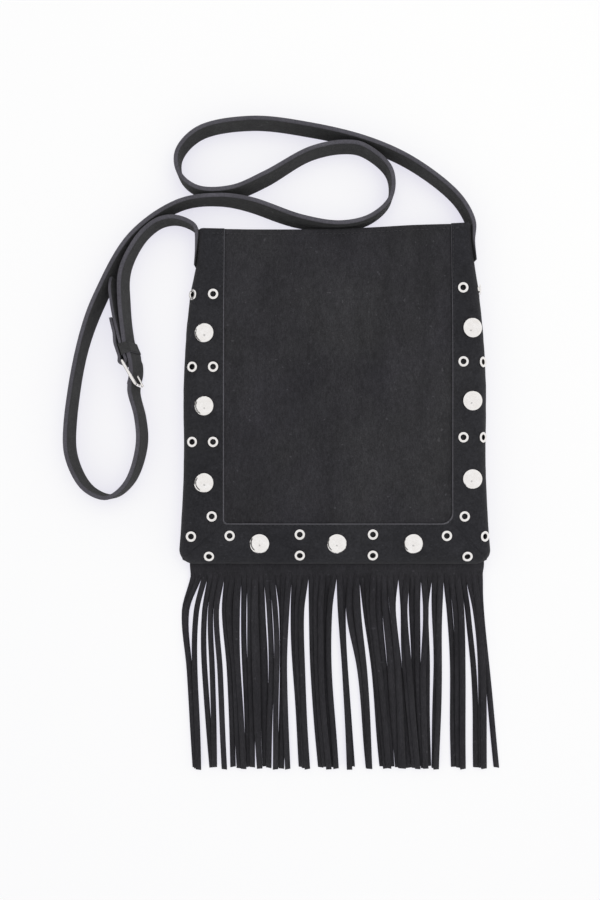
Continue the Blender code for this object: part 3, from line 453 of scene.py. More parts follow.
def panel_point(u, v):
    x = mix(SEAM_LEFT - PANEL_OVERLAP, SEAM_RIGHT + PANEL_OVERLAP, u)
    y = mix(SEAM_Y - PANEL_OVERLAP, mouth_y(x), v)
    soft = ripple(x, y, 0.030, 0.00028) + ripple(x, y, 0.011, 0.00010, 3.0)
    return Vector((x, y, front_z(x, y) - LEATHER - SEAM_GAP + soft))


panel = finish_piece(
    "front_suede",
    grid_of(110, 160, panel_point),
    (panel_suede, edge_grey),
    ("front_panel",),
)
thicken(panel, LEATHER, 1)


def towards(angle):
    return Vector((math.cos(angle), math.sin(angle)))


def plan_point(t, half, centre, bottom, radii):
    """Plan point at t: 0 to 1 down the left side, 2 to 3 along the bottom, 4 to 5 up the right."""
    left_radius, right_radius = radii
    low_left, low_right = bottom + left_radius, bottom + right_radius
    left = centre - half(low_left, -1)
    right = centre + half(low_right, 1)
    if t <= 1:
        y = mix(mouth_y(-half(HALF_HEIGHT, -1)), low_left, t)
        return Vector((centre - half(y, -1), y))
    if t < 2:
        arm = towards((t + 1) * math.pi / 2) * left_radius
        return Vector((left + left_radius, low_left)) + arm
    if t <= 3:
        return Vector((mix(left + left_radius, right - right_radius, t - 2), bottom))
    if t < 4:
        arm = towards(t * math.pi / 2) * right_radius
        return Vector((right - right_radius, low_right)) + arm
    y = mix(low_right, mouth_y(half(HALF_HEIGHT, 1)), t - 4)
    return Vector((centre + half(y, 1), y))


def edge_at(t):
    """Point of the outline of the body, and the direction from there into the bag."""
    corners = (CORNER_RADIUS, CORNER_RADIUS)
    point = plan_point(t, half_width, BAG_CENTRE, -HALF_HEIGHT, corners)
    before = plan_point(max(t - 0.01, 0), half_width, BAG_CENTRE, -HALF_HEIGHT, corners)
    after = plan_point(min(t + 0.01, 5), half_width, BAG_CENTRE, -HALF_HEIGHT, corners)
    run = (after - before).normalized()
    return point, Vector((-run.y, run.x))


def seam_at(t):
    return plan_point(t, lambda y, side: PANEL_WIDTH / 2, PANEL_SHIFT, SEAM_Y, SEAM_RADII)


FLAT_SHARE = 0.50
ROUND_SHARE = 0.88
BORDER_ROWS = 31
BORDER_STEPS = 170
CUT_EDGE_SHARE = 0.018
CUT_EDGE_DROP = 0.0005
MITRE_GROOVE = 0.0007
MITRE_WIDTH = 0.0011


def border_point(t, v, low=SIDE_SEAM + SEAM_GAP):
    """Point of the border: v is 0 at its cut edge, 1 at the seam down the side of the bag."""
    edge, inward = edge_at(t)
    seam = seam_at(t)
    radius = edge_radius(edge.y)
    rim = edge + inward * radius
    top = front_z(rim.x, rim.y)
    if v <= FLAT_SHARE:
        plan = seam + (rim - seam) * v / FLAT_SHARE
        return Vector((plan.x, plan.y, front_z(plan.x, plan.y)))
    if v <= ROUND_SHARE:
        turned = math.pi / 2 * (v - FLAT_SHARE) / (ROUND_SHARE - FLAT_SHARE)
        plan = rim - inward * radius * math.sin(turned)
        return Vector((plan.x, plan.y, top - radius * (1 - math.cos(turned))))
    share = (v - ROUND_SHARE) / (1 - ROUND_SHARE)
    return Vector((edge.x, edge.y, mix(top - radius, low, share)))


FRINGE_LEATHER = 0.0013
BOTTOM_LOW = SIDE_SEAM + SEAM_GAP + FRINGE_LEATHER + 0.0008
# Each border: its run along the outline at these shares of its length, and its lower edge.
BORDERS = {
    "left": ((0.0, 1.0, 1.5), (0.0, 0.93, 1.0), SIDE_SEAM + SEAM_GAP),
    "bottom": ((1.5, 2.0, 3.0, 3.5), (0.0, 0.05, 0.95, 1.0), BOTTOM_LOW),
    "right": ((3.5, 4.0, 5.0), (0.0, 0.07, 1.0), SIDE_SEAM + SEAM_GAP),
}
MITRES = (1.5, 3.5)


def nodes_named(start):
    return sorted(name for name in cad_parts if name.startswith(start))


def axis_of(name):
    """Foot and outward axis of a round CAD piece, from its own points."""
    points = np.array([v.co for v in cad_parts[name].data.vertices], float)
    points = np.unique(np.round(points, 6), axis=0)
    middle = points.mean(axis=0)
    values, vectors = np.linalg.eigh(np.cov((points - middle).T))
    odd = 0 if values[1] - values[0] > values[2] - values[1] else 2
    axis = vectors[:, odd]
    if axis[2] < 0:
        axis = -axis
    along = (points - middle) @ axis
    wide = np.linalg.norm((points - middle) - np.outer(along, axis), axis=1)
    rim = along[wide > wide.max() * 0.93].min()
    foot = Vector(middle + axis * rim)
    foot.x += swell_at(foot.y, 1 if axis[0] > 0 else -1) * axis[0]
    return foot, Vector(axis)


EYELETS = nodes_named("eyelet")
STUDS = nodes_named("stud")
METAL = {name: axis_of(name) for name in EYELETS + STUDS}
HOLE_REACH = 0.0024
HOLE_DEPTH = 0.006


def near_hole(point):
    """Whether a point of the border lies where the leather is punched for an eyelet."""
    for name in EYELETS:
        foot, axis = METAL[name]
        away = point - foot
        if away.length < HOLE_DEPTH and (away - axis * away.dot(axis)).length < HOLE_REACH:
            return True
    return False


def make_border(side):
    places, shares, low = BORDERS[side]

    def point(u, v):
        t = float(np.interp(u, shares, places))
        cut = 1 - min(v * BORDER_ROWS, 1.0)
        v = float(np.interp(v, (0, 1 / BORDER_ROWS, 1), (0, CUT_EDGE_SHARE, 1)))
        spot = border_point(t, v, low)
        inside = border_point(t, min(v + 0.02, 1.0), low) - border_point(t, max(v - 0.02, 0.0), low)
        beside = border_point(min(t + 0.01, 5), v, low) - border_point(max(t - 0.01, 0), v, low)
        out = beside.cross(inside).normalized()
        if out.z < -0.2:
            out.negate()
        mitre = min(abs(t - m) for m in MITRES)
        away = (border_point(t + 0.001, v) - spot).length * 1000 if 0 < t < 4.999 else 1.0
        groove = -MITRE_GROOVE * math.exp(-((mitre * away / MITRE_WIDTH) ** 2))
        soft = ripple(spot.x + spot.z, spot.y, 0.022, 0.00035, 5.0)
        soft += ripple(spot.x, spot.y + spot.z, 0.008, 0.00012, 9.0)
        return spot + out * (groove + soft * ease(v * 8) - CUT_EDGE_DROP * cut)

    bm = grid_of(BORDER_STEPS, BORDER_ROWS, point)
    across = bm.loops.layers.uv.active
    for face in bm.faces:
        if max(loop[across].uv.y for loop in face.loops) < 1.5 / BORDER_ROWS:
            face.material_index = 1
    holes = [face for face in bm.faces if any(near_hole(vert.co) for vert in face.verts)]
    bmesh.ops.delete(bm, geom=holes, context="FACES")
    top = [face for face in bm.faces if face.normal.z < -0.2]
    if len(top) > len(bm.faces) / 3:
        bmesh.ops.reverse_faces(bm, faces=bm.faces)
    piece = finish_piece(
        f"border_{side}_suede", bm, (border_suede, edge_grey), (f"border_{side}",)
    )
    thicken(piece, LEATHER, 1)


for side in BORDERS:
    make_border(side)

# Back of the bag
# One piece of the same suede, flat on the floor, with a rim that turns up to the side seam.

BACK_RADIUS = 0.006
BACK_RIM_SHARE = 0.06
BACK_ROLL_SHARE = 0.30
BACK_UNEVEN = 0.0003
SPINE_LOW = -HALF_HEIGHT + 0.110


def back_point(u, v):
    """u runs round the outline, v from the side seam down the rim to the middle of the back."""
    t = float(np.interp(u, (0.0, 0.35, 0.39, 0.61, 0.65, 1.0), (0, 1, 2, 3, 4, 5)))
    edge, inward = edge_at(t)
    if v <= BACK_RIM_SHARE:
        return Vector((edge.x, edge.y, mix(SIDE_SEAM, BACK_RADIUS, v / BACK_RIM_SHARE)))
    if v <= BACK_ROLL_SHARE:
        turned = math.pi / 2 * (1 - (v - BACK_RIM_SHARE) / (BACK_ROLL_SHARE - BACK_RIM_SHARE))
        plan = edge + inward * BACK_RADIUS * (1 - math.sin(turned))
        return Vector((plan.x, plan.y, BACK_RADIUS * (1 - math.cos(turned))))
    flat = edge + inward * BACK_RADIUS
    spine = Vector((BAG_CENTRE, max(edge.y, SPINE_LOW)))
    plan = flat + (spine - flat) * (v - BACK_ROLL_SHARE) / (1 - BACK_ROLL_SHARE)
    soft = BACK_UNEVEN * abs(noise.noise(Vector((plan.x / 0.03, plan.y / 0.03, 7))))
    return Vector((plan.x, plan.y, soft * ease((v - BACK_ROLL_SHARE) * 6)))


back = grid_of(220, 44, back_point)
bmesh.ops.remove_doubles(back, verts=back.verts, dist=1e-6)
bmesh.ops.recalc_face_normals(back, faces=back.faces)
back.faces.ensure_lookup_table()
lowest = min(back.faces, key=lambda face: face.calc_center_median().z)
if lowest.normal.z > 0:
    bmesh.ops.reverse_faces(back, faces=back.faces)
back_piece = finish_piece(
    "back_suede_panel", back, (back_suede, edge_grey), ("back_panel",)
)
thicken(back_piece, LEATHER, 1)

# Lining
# A plain dark cotton pocket that hangs inside the suede and is sewn to it at the mouth.

LINING = 0.0008
LINING_CLEARANCE = 0.0022
LINING_RECESS = 0.0012
LINING_INSET = 0.004
LINING_FOLD = 0.0016
LINING_END = 0.0056
LINING_MOUTH = 0.012
# Shares of the way round at which the pocket turns up on the right, and down on the left.
RIGHT_START, RIGHT_END, LEFT_START = 0.50, 0.58, 0.92
COTTON = (0.060, 0.060, 0.066)
COTTON_LIGHT = (0.078, 0.078, 0.085)
COTTON_THREADS = 420.0


def lining_point(u, v):
    """u runs round the pocket from the middle of its back, v from the mouth to the closed end."""
    y = mix(HALF_HEIGHT - LINING_RECESS, -HALF_HEIGHT + LINING_END, v)
    near_mouth = 1 - ease((HALF_HEIGHT - y) / LINING_MOUTH)
    edge = edge_radius(y) - 0.002
    side = half_width(y) - LEATHER - LINING_CLEARANCE * (1 - 0.6 * near_mouth)
    low = LEATHER + 2 * SEAM_GAP
    deep = 2 * LEATHER + 3 * SEAM_GAP + LINING_CLEARANCE / 2 * (1 - 0.7 * near_mouth)
    to_end = y + HALF_HEIGHT - LEATHER - LINING_CLEARANCE
    shut = edge - math.sqrt(max(edge**2 - max(edge - to_end, 0.0) ** 2, 0.0))
    deep += shut * 0.5
    side -= shut * 0.5
    top = front_z(BAG_CENTRE + side - edge, y) - deep
    if u < RIGHT_START:
        x, z = BAG_CENTRE + mix(LINING_INSET - side, side - LINING_INSET, u / RIGHT_START), low
    elif u < RIGHT_END:
        share = (u - RIGHT_START) / (RIGHT_END - RIGHT_START)
        turned = math.pi / 2 * share
        x = BAG_CENTRE + side - edge * (1 - math.cos(turned))
        z = top - edge * (1 - math.sin(turned))
        if share < 0.2:
            z = mix(low + LINING_FOLD, top - edge, 1 - (1 - share) ** 2)
    elif u < LEFT_START:
        x = BAG_CENTRE + mix(side - edge, edge - side, (u - RIGHT_END) / (LEFT_START - RIGHT_END))
        z = front_z(x, y) - deep
    else:
        turned = math.pi / 2 * (1 - (u - LEFT_START) / (1 - LEFT_START))
        x = BAG_CENTRE - side + edge * (1 - math.cos(turned))
        z = front_z(BAG_CENTRE - side + edge, y) - deep - edge * (1 - math.sin(turned))
    if v == 0:
        y = mouth_y(x) - LINING_RECESS
    soft = 0.0004 * noise.noise(Vector((x / 0.018, y / 0.018, 4 + z * 60)))
    return Vector((x, y, z + soft * ease(v * 9)))


def cotton():
    made, tree, shader = nodes_of("cotton", 0.9, 0.2, sheen=0.1)
    weave = []
    for direction in ("X", "Y"):
        coords = tree.nodes.new("ShaderNodeTexCoord")
        wave = tree.nodes.new("ShaderNodeTexWave")
        wave.bands_direction = direction
        fill(tree, wave, {"Vector": coords.outputs["Object"], "Scale": COTTON_THREADS})
        weave.append(wave.outputs["Fac"])
    crossing = combine(tree, weave)
    spread = noise_of(tree, 60, 0.85, 1.15)
    tint(tree, shader, COTTON, COTTON_LIGHT, crossing, spread)
    bump(tree, shader, crossing, 0.0002, 0.5)
    return made


lining = grid_of(120, 90, lining_point)
bmesh.ops.remove_doubles(lining, verts=lining.verts, dist=1e-6)
bmesh.ops.recalc_face_normals(lining, faces=lining.faces)
lining_piece = finish_piece("lining_cotton", lining, (cotton(),), ("lining",))
thicken(lining_piece, LINING)

# Eyelets and studs
# Nickel-plated eyelets are rolled over the leather in pairs, with diamonds of four at the lower
# corners. Domed studs sit between them on posts.

NICKEL = (0.93, 0.91, 0.89)
NICKEL_DULL = (0.86, 0.83, 0.80)


def nickel(name, roughness):
    made, tree, shader = nodes_of(name, roughness, 0.5, metallic=1.0)
    dull = noise_of(tree, 500, roughness * 0.7, roughness * 1.6, 3.0)
    tree.links.new(dull, shader.inputs["Roughness"])
    patches, grain = noise_of(tree, 260, 0, 1, 2.0), noise_of(tree, 1100, 0.95, 1.02)
    tint(tree, shader, NICKEL, NICKEL_DULL, patches, grain)
    bump(tree, shader, noise_of(tree, 330, 0, 1, 2.0), 0.0002, 0.25)
    return made


bright = nickel("bright_nickel", 0.09)
STUD_RADIUS = 0.0079
STUD_RISE = 0.0034
STUD_RIM = 0.0004
POST_RADIUS = 0.0012
EYELET_RADIUS = 0.0044
EYELET_HOLE = 0.0022
EYELET_WALL = 0.0004
EYELET_LIFT = 0.00010
EYELET_RISE = 0.00075
POST_REACH = 0.0024


def turned_piece(name, profile, sides):
    """Round piece: a closed profile of (radius, height) points spun about the axis of its node."""
    bm = bmesh.new()
    ring = [bm.verts.new((radius, 0.0, height)) for radius, height in profile]
    edges = [bm.edges.new((a, b)) for a, b in zip(ring, ring[1:])]
    if profile[0][0] > 0:
        edges.append(bm.edges.new((ring[-1], ring[0])))
    bmesh.ops.spin(
        bm,
        geom=ring + edges,
        axis=(0, 0, 1),
        cent=(0, 0, 0),
        angle=2 * math.pi,
        steps=sides,
        use_merge=True,
    )
    bmesh.ops.remove_doubles(bm, verts=bm.verts, dist=1e-7)
    foot, axis = METAL[name]
    place = Matrix.Translation(foot) @ axis.to_track_quat("Z", "Y").to_matrix().to_4x4()
    bmesh.ops.transform(bm, matrix=place, verts=bm.verts)
    bmesh.ops.recalc_face_normals(bm, faces=bm.faces)
    return finish_piece(f"{name}_metal", bm, (bright,), (name,), smooth=60)


def eyelet_profile():
    roll = (EYELET_RADIUS - EYELET_HOLE) / 2
    middle = EYELET_HOLE + roll
    profile = [(EYELET_HOLE, -POST_REACH), (EYELET_HOLE, 0.0)]
    for k in range(9):
        turned = math.pi * (1 - k / 8)
        profile.append((middle + roll * math.cos(turned), EYELET_LIFT + EYELET_RISE * math.sin(turned)))
    profile.append((EYELET_RADIUS - 0.0001, 0.0))
    profile.append((EYELET_HOLE + EYELET_WALL, 0.0))
    profile.append((EYELET_HOLE + EYELET_WALL, -POST_REACH))
    return profile


def stud_profile():
    cap = (STUD_RADIUS**2 + STUD_RISE**2) / (2 * STUD_RISE)
    widest = math.asin(STUD_RADIUS / cap)
    profile = [(0.0, -POST_REACH), (POST_RADIUS, -POST_REACH), (POST_RADIUS, 0.0)]
    profile += [(STUD_RADIUS - STUD_RIM, 0.0), (STUD_RADIUS - 0.0001, 0.0001)]
    for k in range(19):
        turned = widest * (1 - k / 18)
        height = STUD_RIM + cap * math.cos(turned) - (cap - STUD_RISE)
        profile.append((cap * math.sin(turned), height))
    return profile


for name in EYELETS:
    turned_piece(name, eyelet_profile(), 40)
for name in STUDS:
    turned_piece(name, stud_profile(), 56)

# Fringe
# One strip of suede, slit into strands and caught in the bottom seam. The strands fall in
# bunches, some on top of others, and their ends were cut unevenly.

FRINGE_WIDTH = 0.2470
FRINGE_MIDDLE = BAG_CENTRE + 0.0008
HEADER_MIDDLE = FRINGE_MIDDLE + 0.0014
FRINGE_LENGTH = 0.1745
SEAM_ALLOWANCE = 0.0022
SLIT_START = 0.0095
SLIT_DROP = 0.60
STRAND_WIDTH = 0.0046
STRAND_LEVEL = 0.0018
STRAND_STEPS = 26
TIP_SCATTER = 0.0007
FLOOR_Z = FRINGE_LEATHER / 2 + 0.0003
FRINGE_SUEDE = (0.0235, 0.0227, 0.0260)
FRINGE_OTHER = (0.0275, 0.0266, 0.0297)
STRAND_EDGE = (0.045, 0.044, 0.050)
# Each bunch: how many strands, and its left and right side at three places down its length, in
# hundredths of the width of the fringe from its middle.
BUNCHES = (
    (2, (-52.6, -50.0), (-51.0, -48.9), (-48.9, -46.4)),
    (1, (-48.6, -46.4), (-48.8, -46.9), (-47.6, -45.7)),
    (1, (-45.7, -43.7), (-45.9, -43.8), (-43.1, -41.1)),
    (1, (-43.7, -41.6), (-43.1, -41.0), (-42.3, -40.3)),
    (1, (-41.6, -39.6), (-40.4, -38.3), (-38.9, -36.8)),
    (1, (-39.0, -36.9), (-37.2, -35.2), (-35.9, -34.1)),
    (2, (-37.0, -32.8), (-35.4, -32.2), (-33.7, -30.2)),
    (1, (-32.2, -30.4), (-31.9, -29.9), (-30.6, -28.6)),
    (1, (-30.2, -28.2), (-30.0, -27.9), (-29.2, -27.3)),
    (2, (-28.3, -24.1), (-28.0, -23.5), (-26.7, -23.0)),
    (1, (-23.5, -21.4), (-22.9, -20.9), (-23.6, -21.9)),
    (1, (-21.5, -19.4), (-21.0, -18.9), (-21.5, -19.5)),
    (2, (-19.2, -16.6), (-19.0, -16.9), (-19.6, -17.4)),
    (1, (-17.6, -15.5), (-18.3, -16.4), (-17.2, -15.1)),
    (3, (-15.2, -10.5), (-14.5, -10.3), (-12.3, -8.5)),
    (5, (-8.9, -1.0), (-8.5, -1.0), (-5.8, 1.3)),
    (2, (0.9, 3.8), (2.5, 4.5), (4.0, 7.0)),
    (2, (4.3, 8.6), (7.5, 11.0), (10.7, 12.8)),
    (3, (9.8, 13.8), (12.4, 16.2), (15.4, 19.3)),
    (2, (14.1, 18.4), (15.8, 20.3), (18.5, 22.5)),
    (2, (18.7, 20.9), (20.7, 23.3), (21.9, 26.3)),
    (2, (22.6, 24.8), (23.1, 26.3), (26.5, 29.2)),
    (2, (25.5, 29.2), (26.4, 29.3), (28.0, 31.2)),
    (2, (30.1, 32.2), (29.2, 32.6), (30.0, 33.0)),
    (2, (33.2, 36.7), (33.8, 36.5), (33.0, 35.6)),
    (3, (38.6, 44.2), (39.5, 44.5), (39.9, 44.7)),
    (1, (44.8, 46.8), (46.7, 48.7), (47.7, 49.6)),
    (2, (47.3, 50.2), (49.1, 51.5), (49.2, 51.9)),
    (1, (49.4, 51.4), (51.3, 53.3), (54.6, 56.6)),
)
SPREAD_START = 0.02
BUNCH_SHARES = (0.20, 0.50, 1.0)


def strand_paths(pitch):
    """Lines of each strand: (share of its length, x of its middle) and (share, width) points.

    Strands of a bunch touch, so they are as wide as their places in the bunch.
    """
    paths = []
    for count, *levels in BUNCHES:
        for k in range(count):
            start = HEADER_MIDDLE - FRINGE_WIDTH / 2 + pitch * (len(paths) + 0.5)
            middles = [(0.0, start), (SPREAD_START, start)]
            widths = [(0.0, pitch), (SPREAD_START, pitch * 1.05)]
            for share, (left, right) in zip(BUNCH_SHARES, levels):
                low = FRINGE_MIDDLE + FRINGE_WIDTH * left / 100 + STRAND_WIDTH / 2
                high = FRINGE_MIDDLE + FRINGE_WIDTH * right / 100 - STRAND_WIDTH / 2
                middles.append((share, mix(low, high, k / (count - 1) if count > 1 else 0.5)))
                apart = (high - low) / (count - 1) if count > 1 else 0.0
                widths.append((share, max(STRAND_WIDTH, apart * 1.04)))
            paths.append((middles, widths))
    return paths


def make_fringe():
    count = sum(bunch[0] for bunch in BUNCHES)
    pitch = FRINGE_WIDTH / count
    rng = random.Random(7)
    edge_y = -HALF_HEIGHT
    slit_y = edge_y - SLIT_START
    seam_z = SIDE_SEAM + 0.0004 + FRINGE_LEATHER / 2
    slit_z = mix(seam_z, FLOOR_Z, SLIT_DROP)
    header = (
        (edge_y + SEAM_ALLOWANCE, seam_z),
        (edge_y - 0.0010, seam_z),
        (edge_y - 0.0042, seam_z - 0.0009),
        (edge_y - SLIT_START * 0.75, mix(seam_z, FLOOR_Z, 0.42)),
        (slit_y, slit_z),
    )

    def header_point(u, v):
        y, z = header[round(v * 4)]
        return Vector((HEADER_MIDDLE + FRINGE_WIDTH * (u - 0.5), y, z))

    bm = bmesh.new()
    bm.loops.layers.uv.new("UVMap")
    shade = bm.faces.layers.float.new("shade")
    for face in add_sheet(bm, 2 * count, 4, header_point):
        face[shade] = 1.0
    for k, (middles, widths) in enumerate(strand_paths(pitch)):
        tip_y = edge_y - FRINGE_LENGTH + rng.uniform(-TIP_SCATTER, TIP_SCATTER)
        level = FLOOR_Z + STRAND_LEVEL * (k % 3)
        tilt, tone = rng.uniform(-0.10, 0.10), rng.uniform(0.90, 1.10)
        wave, phase = rng.uniform(0.0001, 0.0004), rng.uniform(0, 6)
        slant = 0.0004 * math.sin(k * 2.3)

        def strand_point(u, v):
            share = v**1.25
            aside = 2 * u - 1
            x = through(middles, share) + wave * math.sin(9 * share + phase) * ease(share * 3)
            z = mix(slit_z, level, ease(share / 0.13))
            z += 0.0003 * math.sin(7 * share + phase) * ease(share * 4)
            half = through(widths, share) / 2
            z += tilt * ease(share * 3) * half * aside
            y = mix(slit_y, tip_y, share) + (slant * aside if v == 1 else 0.0)
            return Vector((x + half * aside, y, max(z, FLOOR_Z)))

        for face in add_sheet(bm, 2, STRAND_STEPS, strand_point):
            face[shade] = tone
    bmesh.ops.remove_doubles(bm, verts=bm.verts, dist=1e-6)
    bmesh.ops.recalc_face_normals(bm, faces=bm.faces)
    nap = suede("fringe_suede", FRINGE_SUEDE, FRINGE_OTHER, run=(2.2, 0.5, 1), per_strand=True)
    edge = cut_edge("strand_edge", STRAND_EDGE)
    piece = finish_piece("fringe_strands", bm, (nap, edge), ("fringe",))
    thicken(piece, FRINGE_LEATHER, 1, offset=0.0)


make_fringe()

# Shoulder strap
# A long strap folded from one strip of leather and glued, so that its cut edge shows a fine
# line down its middle. It stands on its edge and is sewn to both sides of the mouth.

STRAP_WIDTH = 0.0200
STRAP_LEATHER = 0.0036
# Painted shade: the strap's upright sides are coloured darker than its leather, in place of the light
# that falls less on them than on the top. Its paler cut edge is partly the edge's own colour and partly
# this painted contrast.
STRAP_SHADED_SIDE = (0.0360, 0.0360, 0.0372)
STRAP_SHADED_OTHER = (0.0420, 0.0418, 0.0418)
STRAP_EDGE = (0.078, 0.075, 0.087)
CORNER_PART = 0.30
GROOVE_PART = 0.035
SKIVED = {-1: 0.16, 1: 0.14}
STRAP_FLOOR_GAP = 0.0004
WALL_GAP = 0.0004
WIRE = 0.0026
FRAME_LENGTH = 0.0234
FRAME_ROOM = 0.0020
BAR_CLEARANCE = 0.0003
PRONG_WIRE = 0.0020
TAB_LEATHER = 0.0024
TAB_POINT = 0.013
POINT_CUT = 0.64
LAYER_GAP = 0.0004
KEEPER_LEATHER = 0.0010
KEEPER_LENGTH = 0.0090
KEEPER_CLEARANCE = 0.0005
TAB_RADIUS = WIRE / 2 + BAR_CLEARANCE + TAB_LEATHER / 2
STRAP_BESIDE_TAB = TAB_LEATHER / 2 + LAYER_GAP + STRAP_LEATHER / 2
PRONG_EYE = WIRE / 2 + BAR_CLEARANCE + PRONG_WIRE
KEEPER_REACH = PRONG_EYE + KEEPER_CLEARANCE + KEEPER_LENGTH / 2
FRAME_HEIGHT = STRAP_WIDTH + 2 * WIRE + FRAME_ROOM
BUCKLE_LIFT = WIRE + FRAME_ROOM / 2 - STRAP_FLOOR_GAP
FRAME_TURN = math.radians(-60.4)
LEG_TURN = math.radians(108.7)
# Millimetres from the left end of the mouth, chosen along the photograph's strap.
STRAP_TOP_ROUTE = (
    (214.8, 24.2), (179.5, 53.0), (141.7, 71.0), (91.5, 83.6), (41.4, 89.0), (-2.1, 80.1),
    (-18.9, 61.2), (-16.9, 43.9), (-2.1, 32.1), (25.8, 32.1), (53.7, 43.9), (91.5, 64.1),
    (119.5, 69.4), (135.9, 66.6), (157.3, 47.7), (157.8, 25.0), (142.0, 9.2), (117.0, 3.0),
    (85.5, 7.6), (41.4, 22.6), (14.3, 25.6), (-18.6, 20.1), (-57.2, -7.0), (-84.3, -53.0),
    (-95.4, -83.4), (-110.3, -160.3), (-109.2, -191.1), (-95.4, -216.5), (-76.9, -223.9),
    (-61.3, -212.0), (-51.4, -182.0), (-52.3, -157.0), (-57.2, -136.3), (-57.0, -128.0),
)
STRAP_INNER_ROUTE = (
    (-62.9, -86.3), (-66.0, -61.5), (-66.3, -42.4), (-63.3, -30.0), (-54.7, -13.6),
    (-45.9, -2.6), (-35.0, 5.3), (-23.9, 7.8), (-14.0, 6.1), (-5.6, 1.6),
)
TAB_ROUTE = ((-67.4, -86.4), (-70.7, -73.1), (-72.9, -61.6), (-74.5, -49.2), (-74.6, -40.4))


def route_points(route):
    return [Vector((x / 1000 - MOUTH_WIDTH / 2, y / 1000 + HALF_HEIGHT)) for x, y in route]


HEEL_BAR = route_points(((-63.0, -110.7),))[0]
LEG_UP = towards(LEG_TURN)
LEG_BESIDE = Vector((LEG_UP.y, -LEG_UP.x))
FRAME_RUN = towards(FRAME_TURN)
FRAME_SIDE = Vector((-FRAME_RUN.y, FRAME_RUN.x))


def spline(points, steps):
    """Points along a smooth curve through these points, even where they lie unevenly."""
    full = [points[0] * 2 - points[1], *points, points[-1] * 2 - points[-2]]
    line = []
    for a, b, c, d in zip(full, full[1:], full[2:], full[3:]):
        before, span, after = ((q - p).length ** 0.5 for p, q in ((a, b), (b, c), (c, d)))
        leave = ((b - a) / before - (c - a) / (before + span) + (c - b) / span) * span
        arrive = ((c - b) / span - (d - b) / (span + after) + (d - c) / after) * span
        for s in range(steps):
            t = s / steps
            point = b + leave * t + (c * 3 - b * 3 - leave * 2 - arrive) * t * t
            line.append(point + (b * 2 - c * 2 + leave + arrive) * t**3)
    line.append(points[-1].copy())
    return line


def lift_at(point):
    """Height of the strap's lower edge over the floor: it rises into the buckle."""
    near = 1 - (point - HEEL_BAR).length / 0.062
    return STRAP_FLOOR_GAP + BUCKLE_LIFT * ease(near * 1.6)


def sewn_end(side):
    out = WALL_GAP + STRAP_LEATHER / 2
    top = mouth_y(side * MOUTH_WIDTH / 2)
    line = []
    for share in (0.0, 0.5, 1.0):
        y = top - SEWN_LENGTH * share
        line.append(Vector((BAG_CENTRE + side * (half_width(y) + out), y)))
    return line


def strap_line():
    pair = HEEL_BAR + LEG_BESIDE * (TAB_RADIUS + STRAP_BESIDE_TAB)
    points = sewn_end(1)[::-1] + route_points(STRAP_TOP_ROUTE)
    points.append(HEEL_BAR + FRAME_RUN * FRAME_LENGTH * 0.86 - FRAME_SIDE * 0.0052)
    points.append(HEEL_BAR + FRAME_RUN * FRAME_LENGTH * 0.56 + FRAME_SIDE * 0.0006)
    points.append(pair + LEG_UP * 0.0005)
    points.append(pair + LEG_UP * (KEEPER_REACH + KEEPER_LENGTH / 2 + 0.001))
    return spline(points + route_points(STRAP_INNER_ROUTE) + sewn_end(-1), 9)


def section_of(thickness):
    """Closed outline of an upright strip: its (across, up) points from the top of one side."""
    half, side, corner = STRAP_WIDTH / 2, thickness / 2, thickness * CORNER_PART
    groove = thickness * GROOVE_PART
    turns = [math.radians(22.5 * k) for k in range(5)]
    top_right = [
        (side - corner + corner * math.cos(a), half - corner + corner * math.sin(a)) for a in turns
    ]
    top_left = [(-x, z) for x, z in reversed(top_right)]
    faces = [(side, mix(-half + corner, half - corner, k / 6)) for k in range(1, 6)]
    ring = top_right + [(0.0, half - groove)] + top_left
    ring += [(-x, z) for x, z in reversed(faces)]
    ring += [(x, -z) for x, z in reversed(top_left)] + [(0.0, groove - half)]
    ring += [(x, -z) for x, z in reversed(top_right)] + faces
    return ring


# Where the strap leans, its lower edge stands out: (place, reach, how far it stands out).
LEANS = (
    ((-0.055, 0.158), 0.030, (0.0000, -0.0045)),
    ((-0.190, 0.080), 0.026, (0.0036, -0.0010)),
    ((-0.162, -0.040), 0.036, (0.0022, 0.0004)),
    ((-0.1665, 0.026), 0.018, (0.0036, 0.0004)),
    ((-0.219, -0.030), 0.055, (0.0014, 0.0000)),
    ((-0.010, 0.225), 0.060, (0.0000, -0.0010)),
)


def lean_at(point):
    """How far the lower edge of the strap stands out here. The bar of the buckle is upright."""
    free = ease(((point - HEEL_BAR).length - 0.0030) / 0.0040)
    total = Vector((0, 0))
    for place, reach, out in LEANS:
        away = (point - Vector(place)).length / reach
        total += Vector(out) * math.exp(-(away**2) / 2)
    return total * free


def lengths_along(line):
    """Length of a line up to each of its points."""
    lengths = [0.0]
    for a, b in zip(line, line[1:]):
        lengths.append(lengths[-1] + (b - a).length)
    return lengths


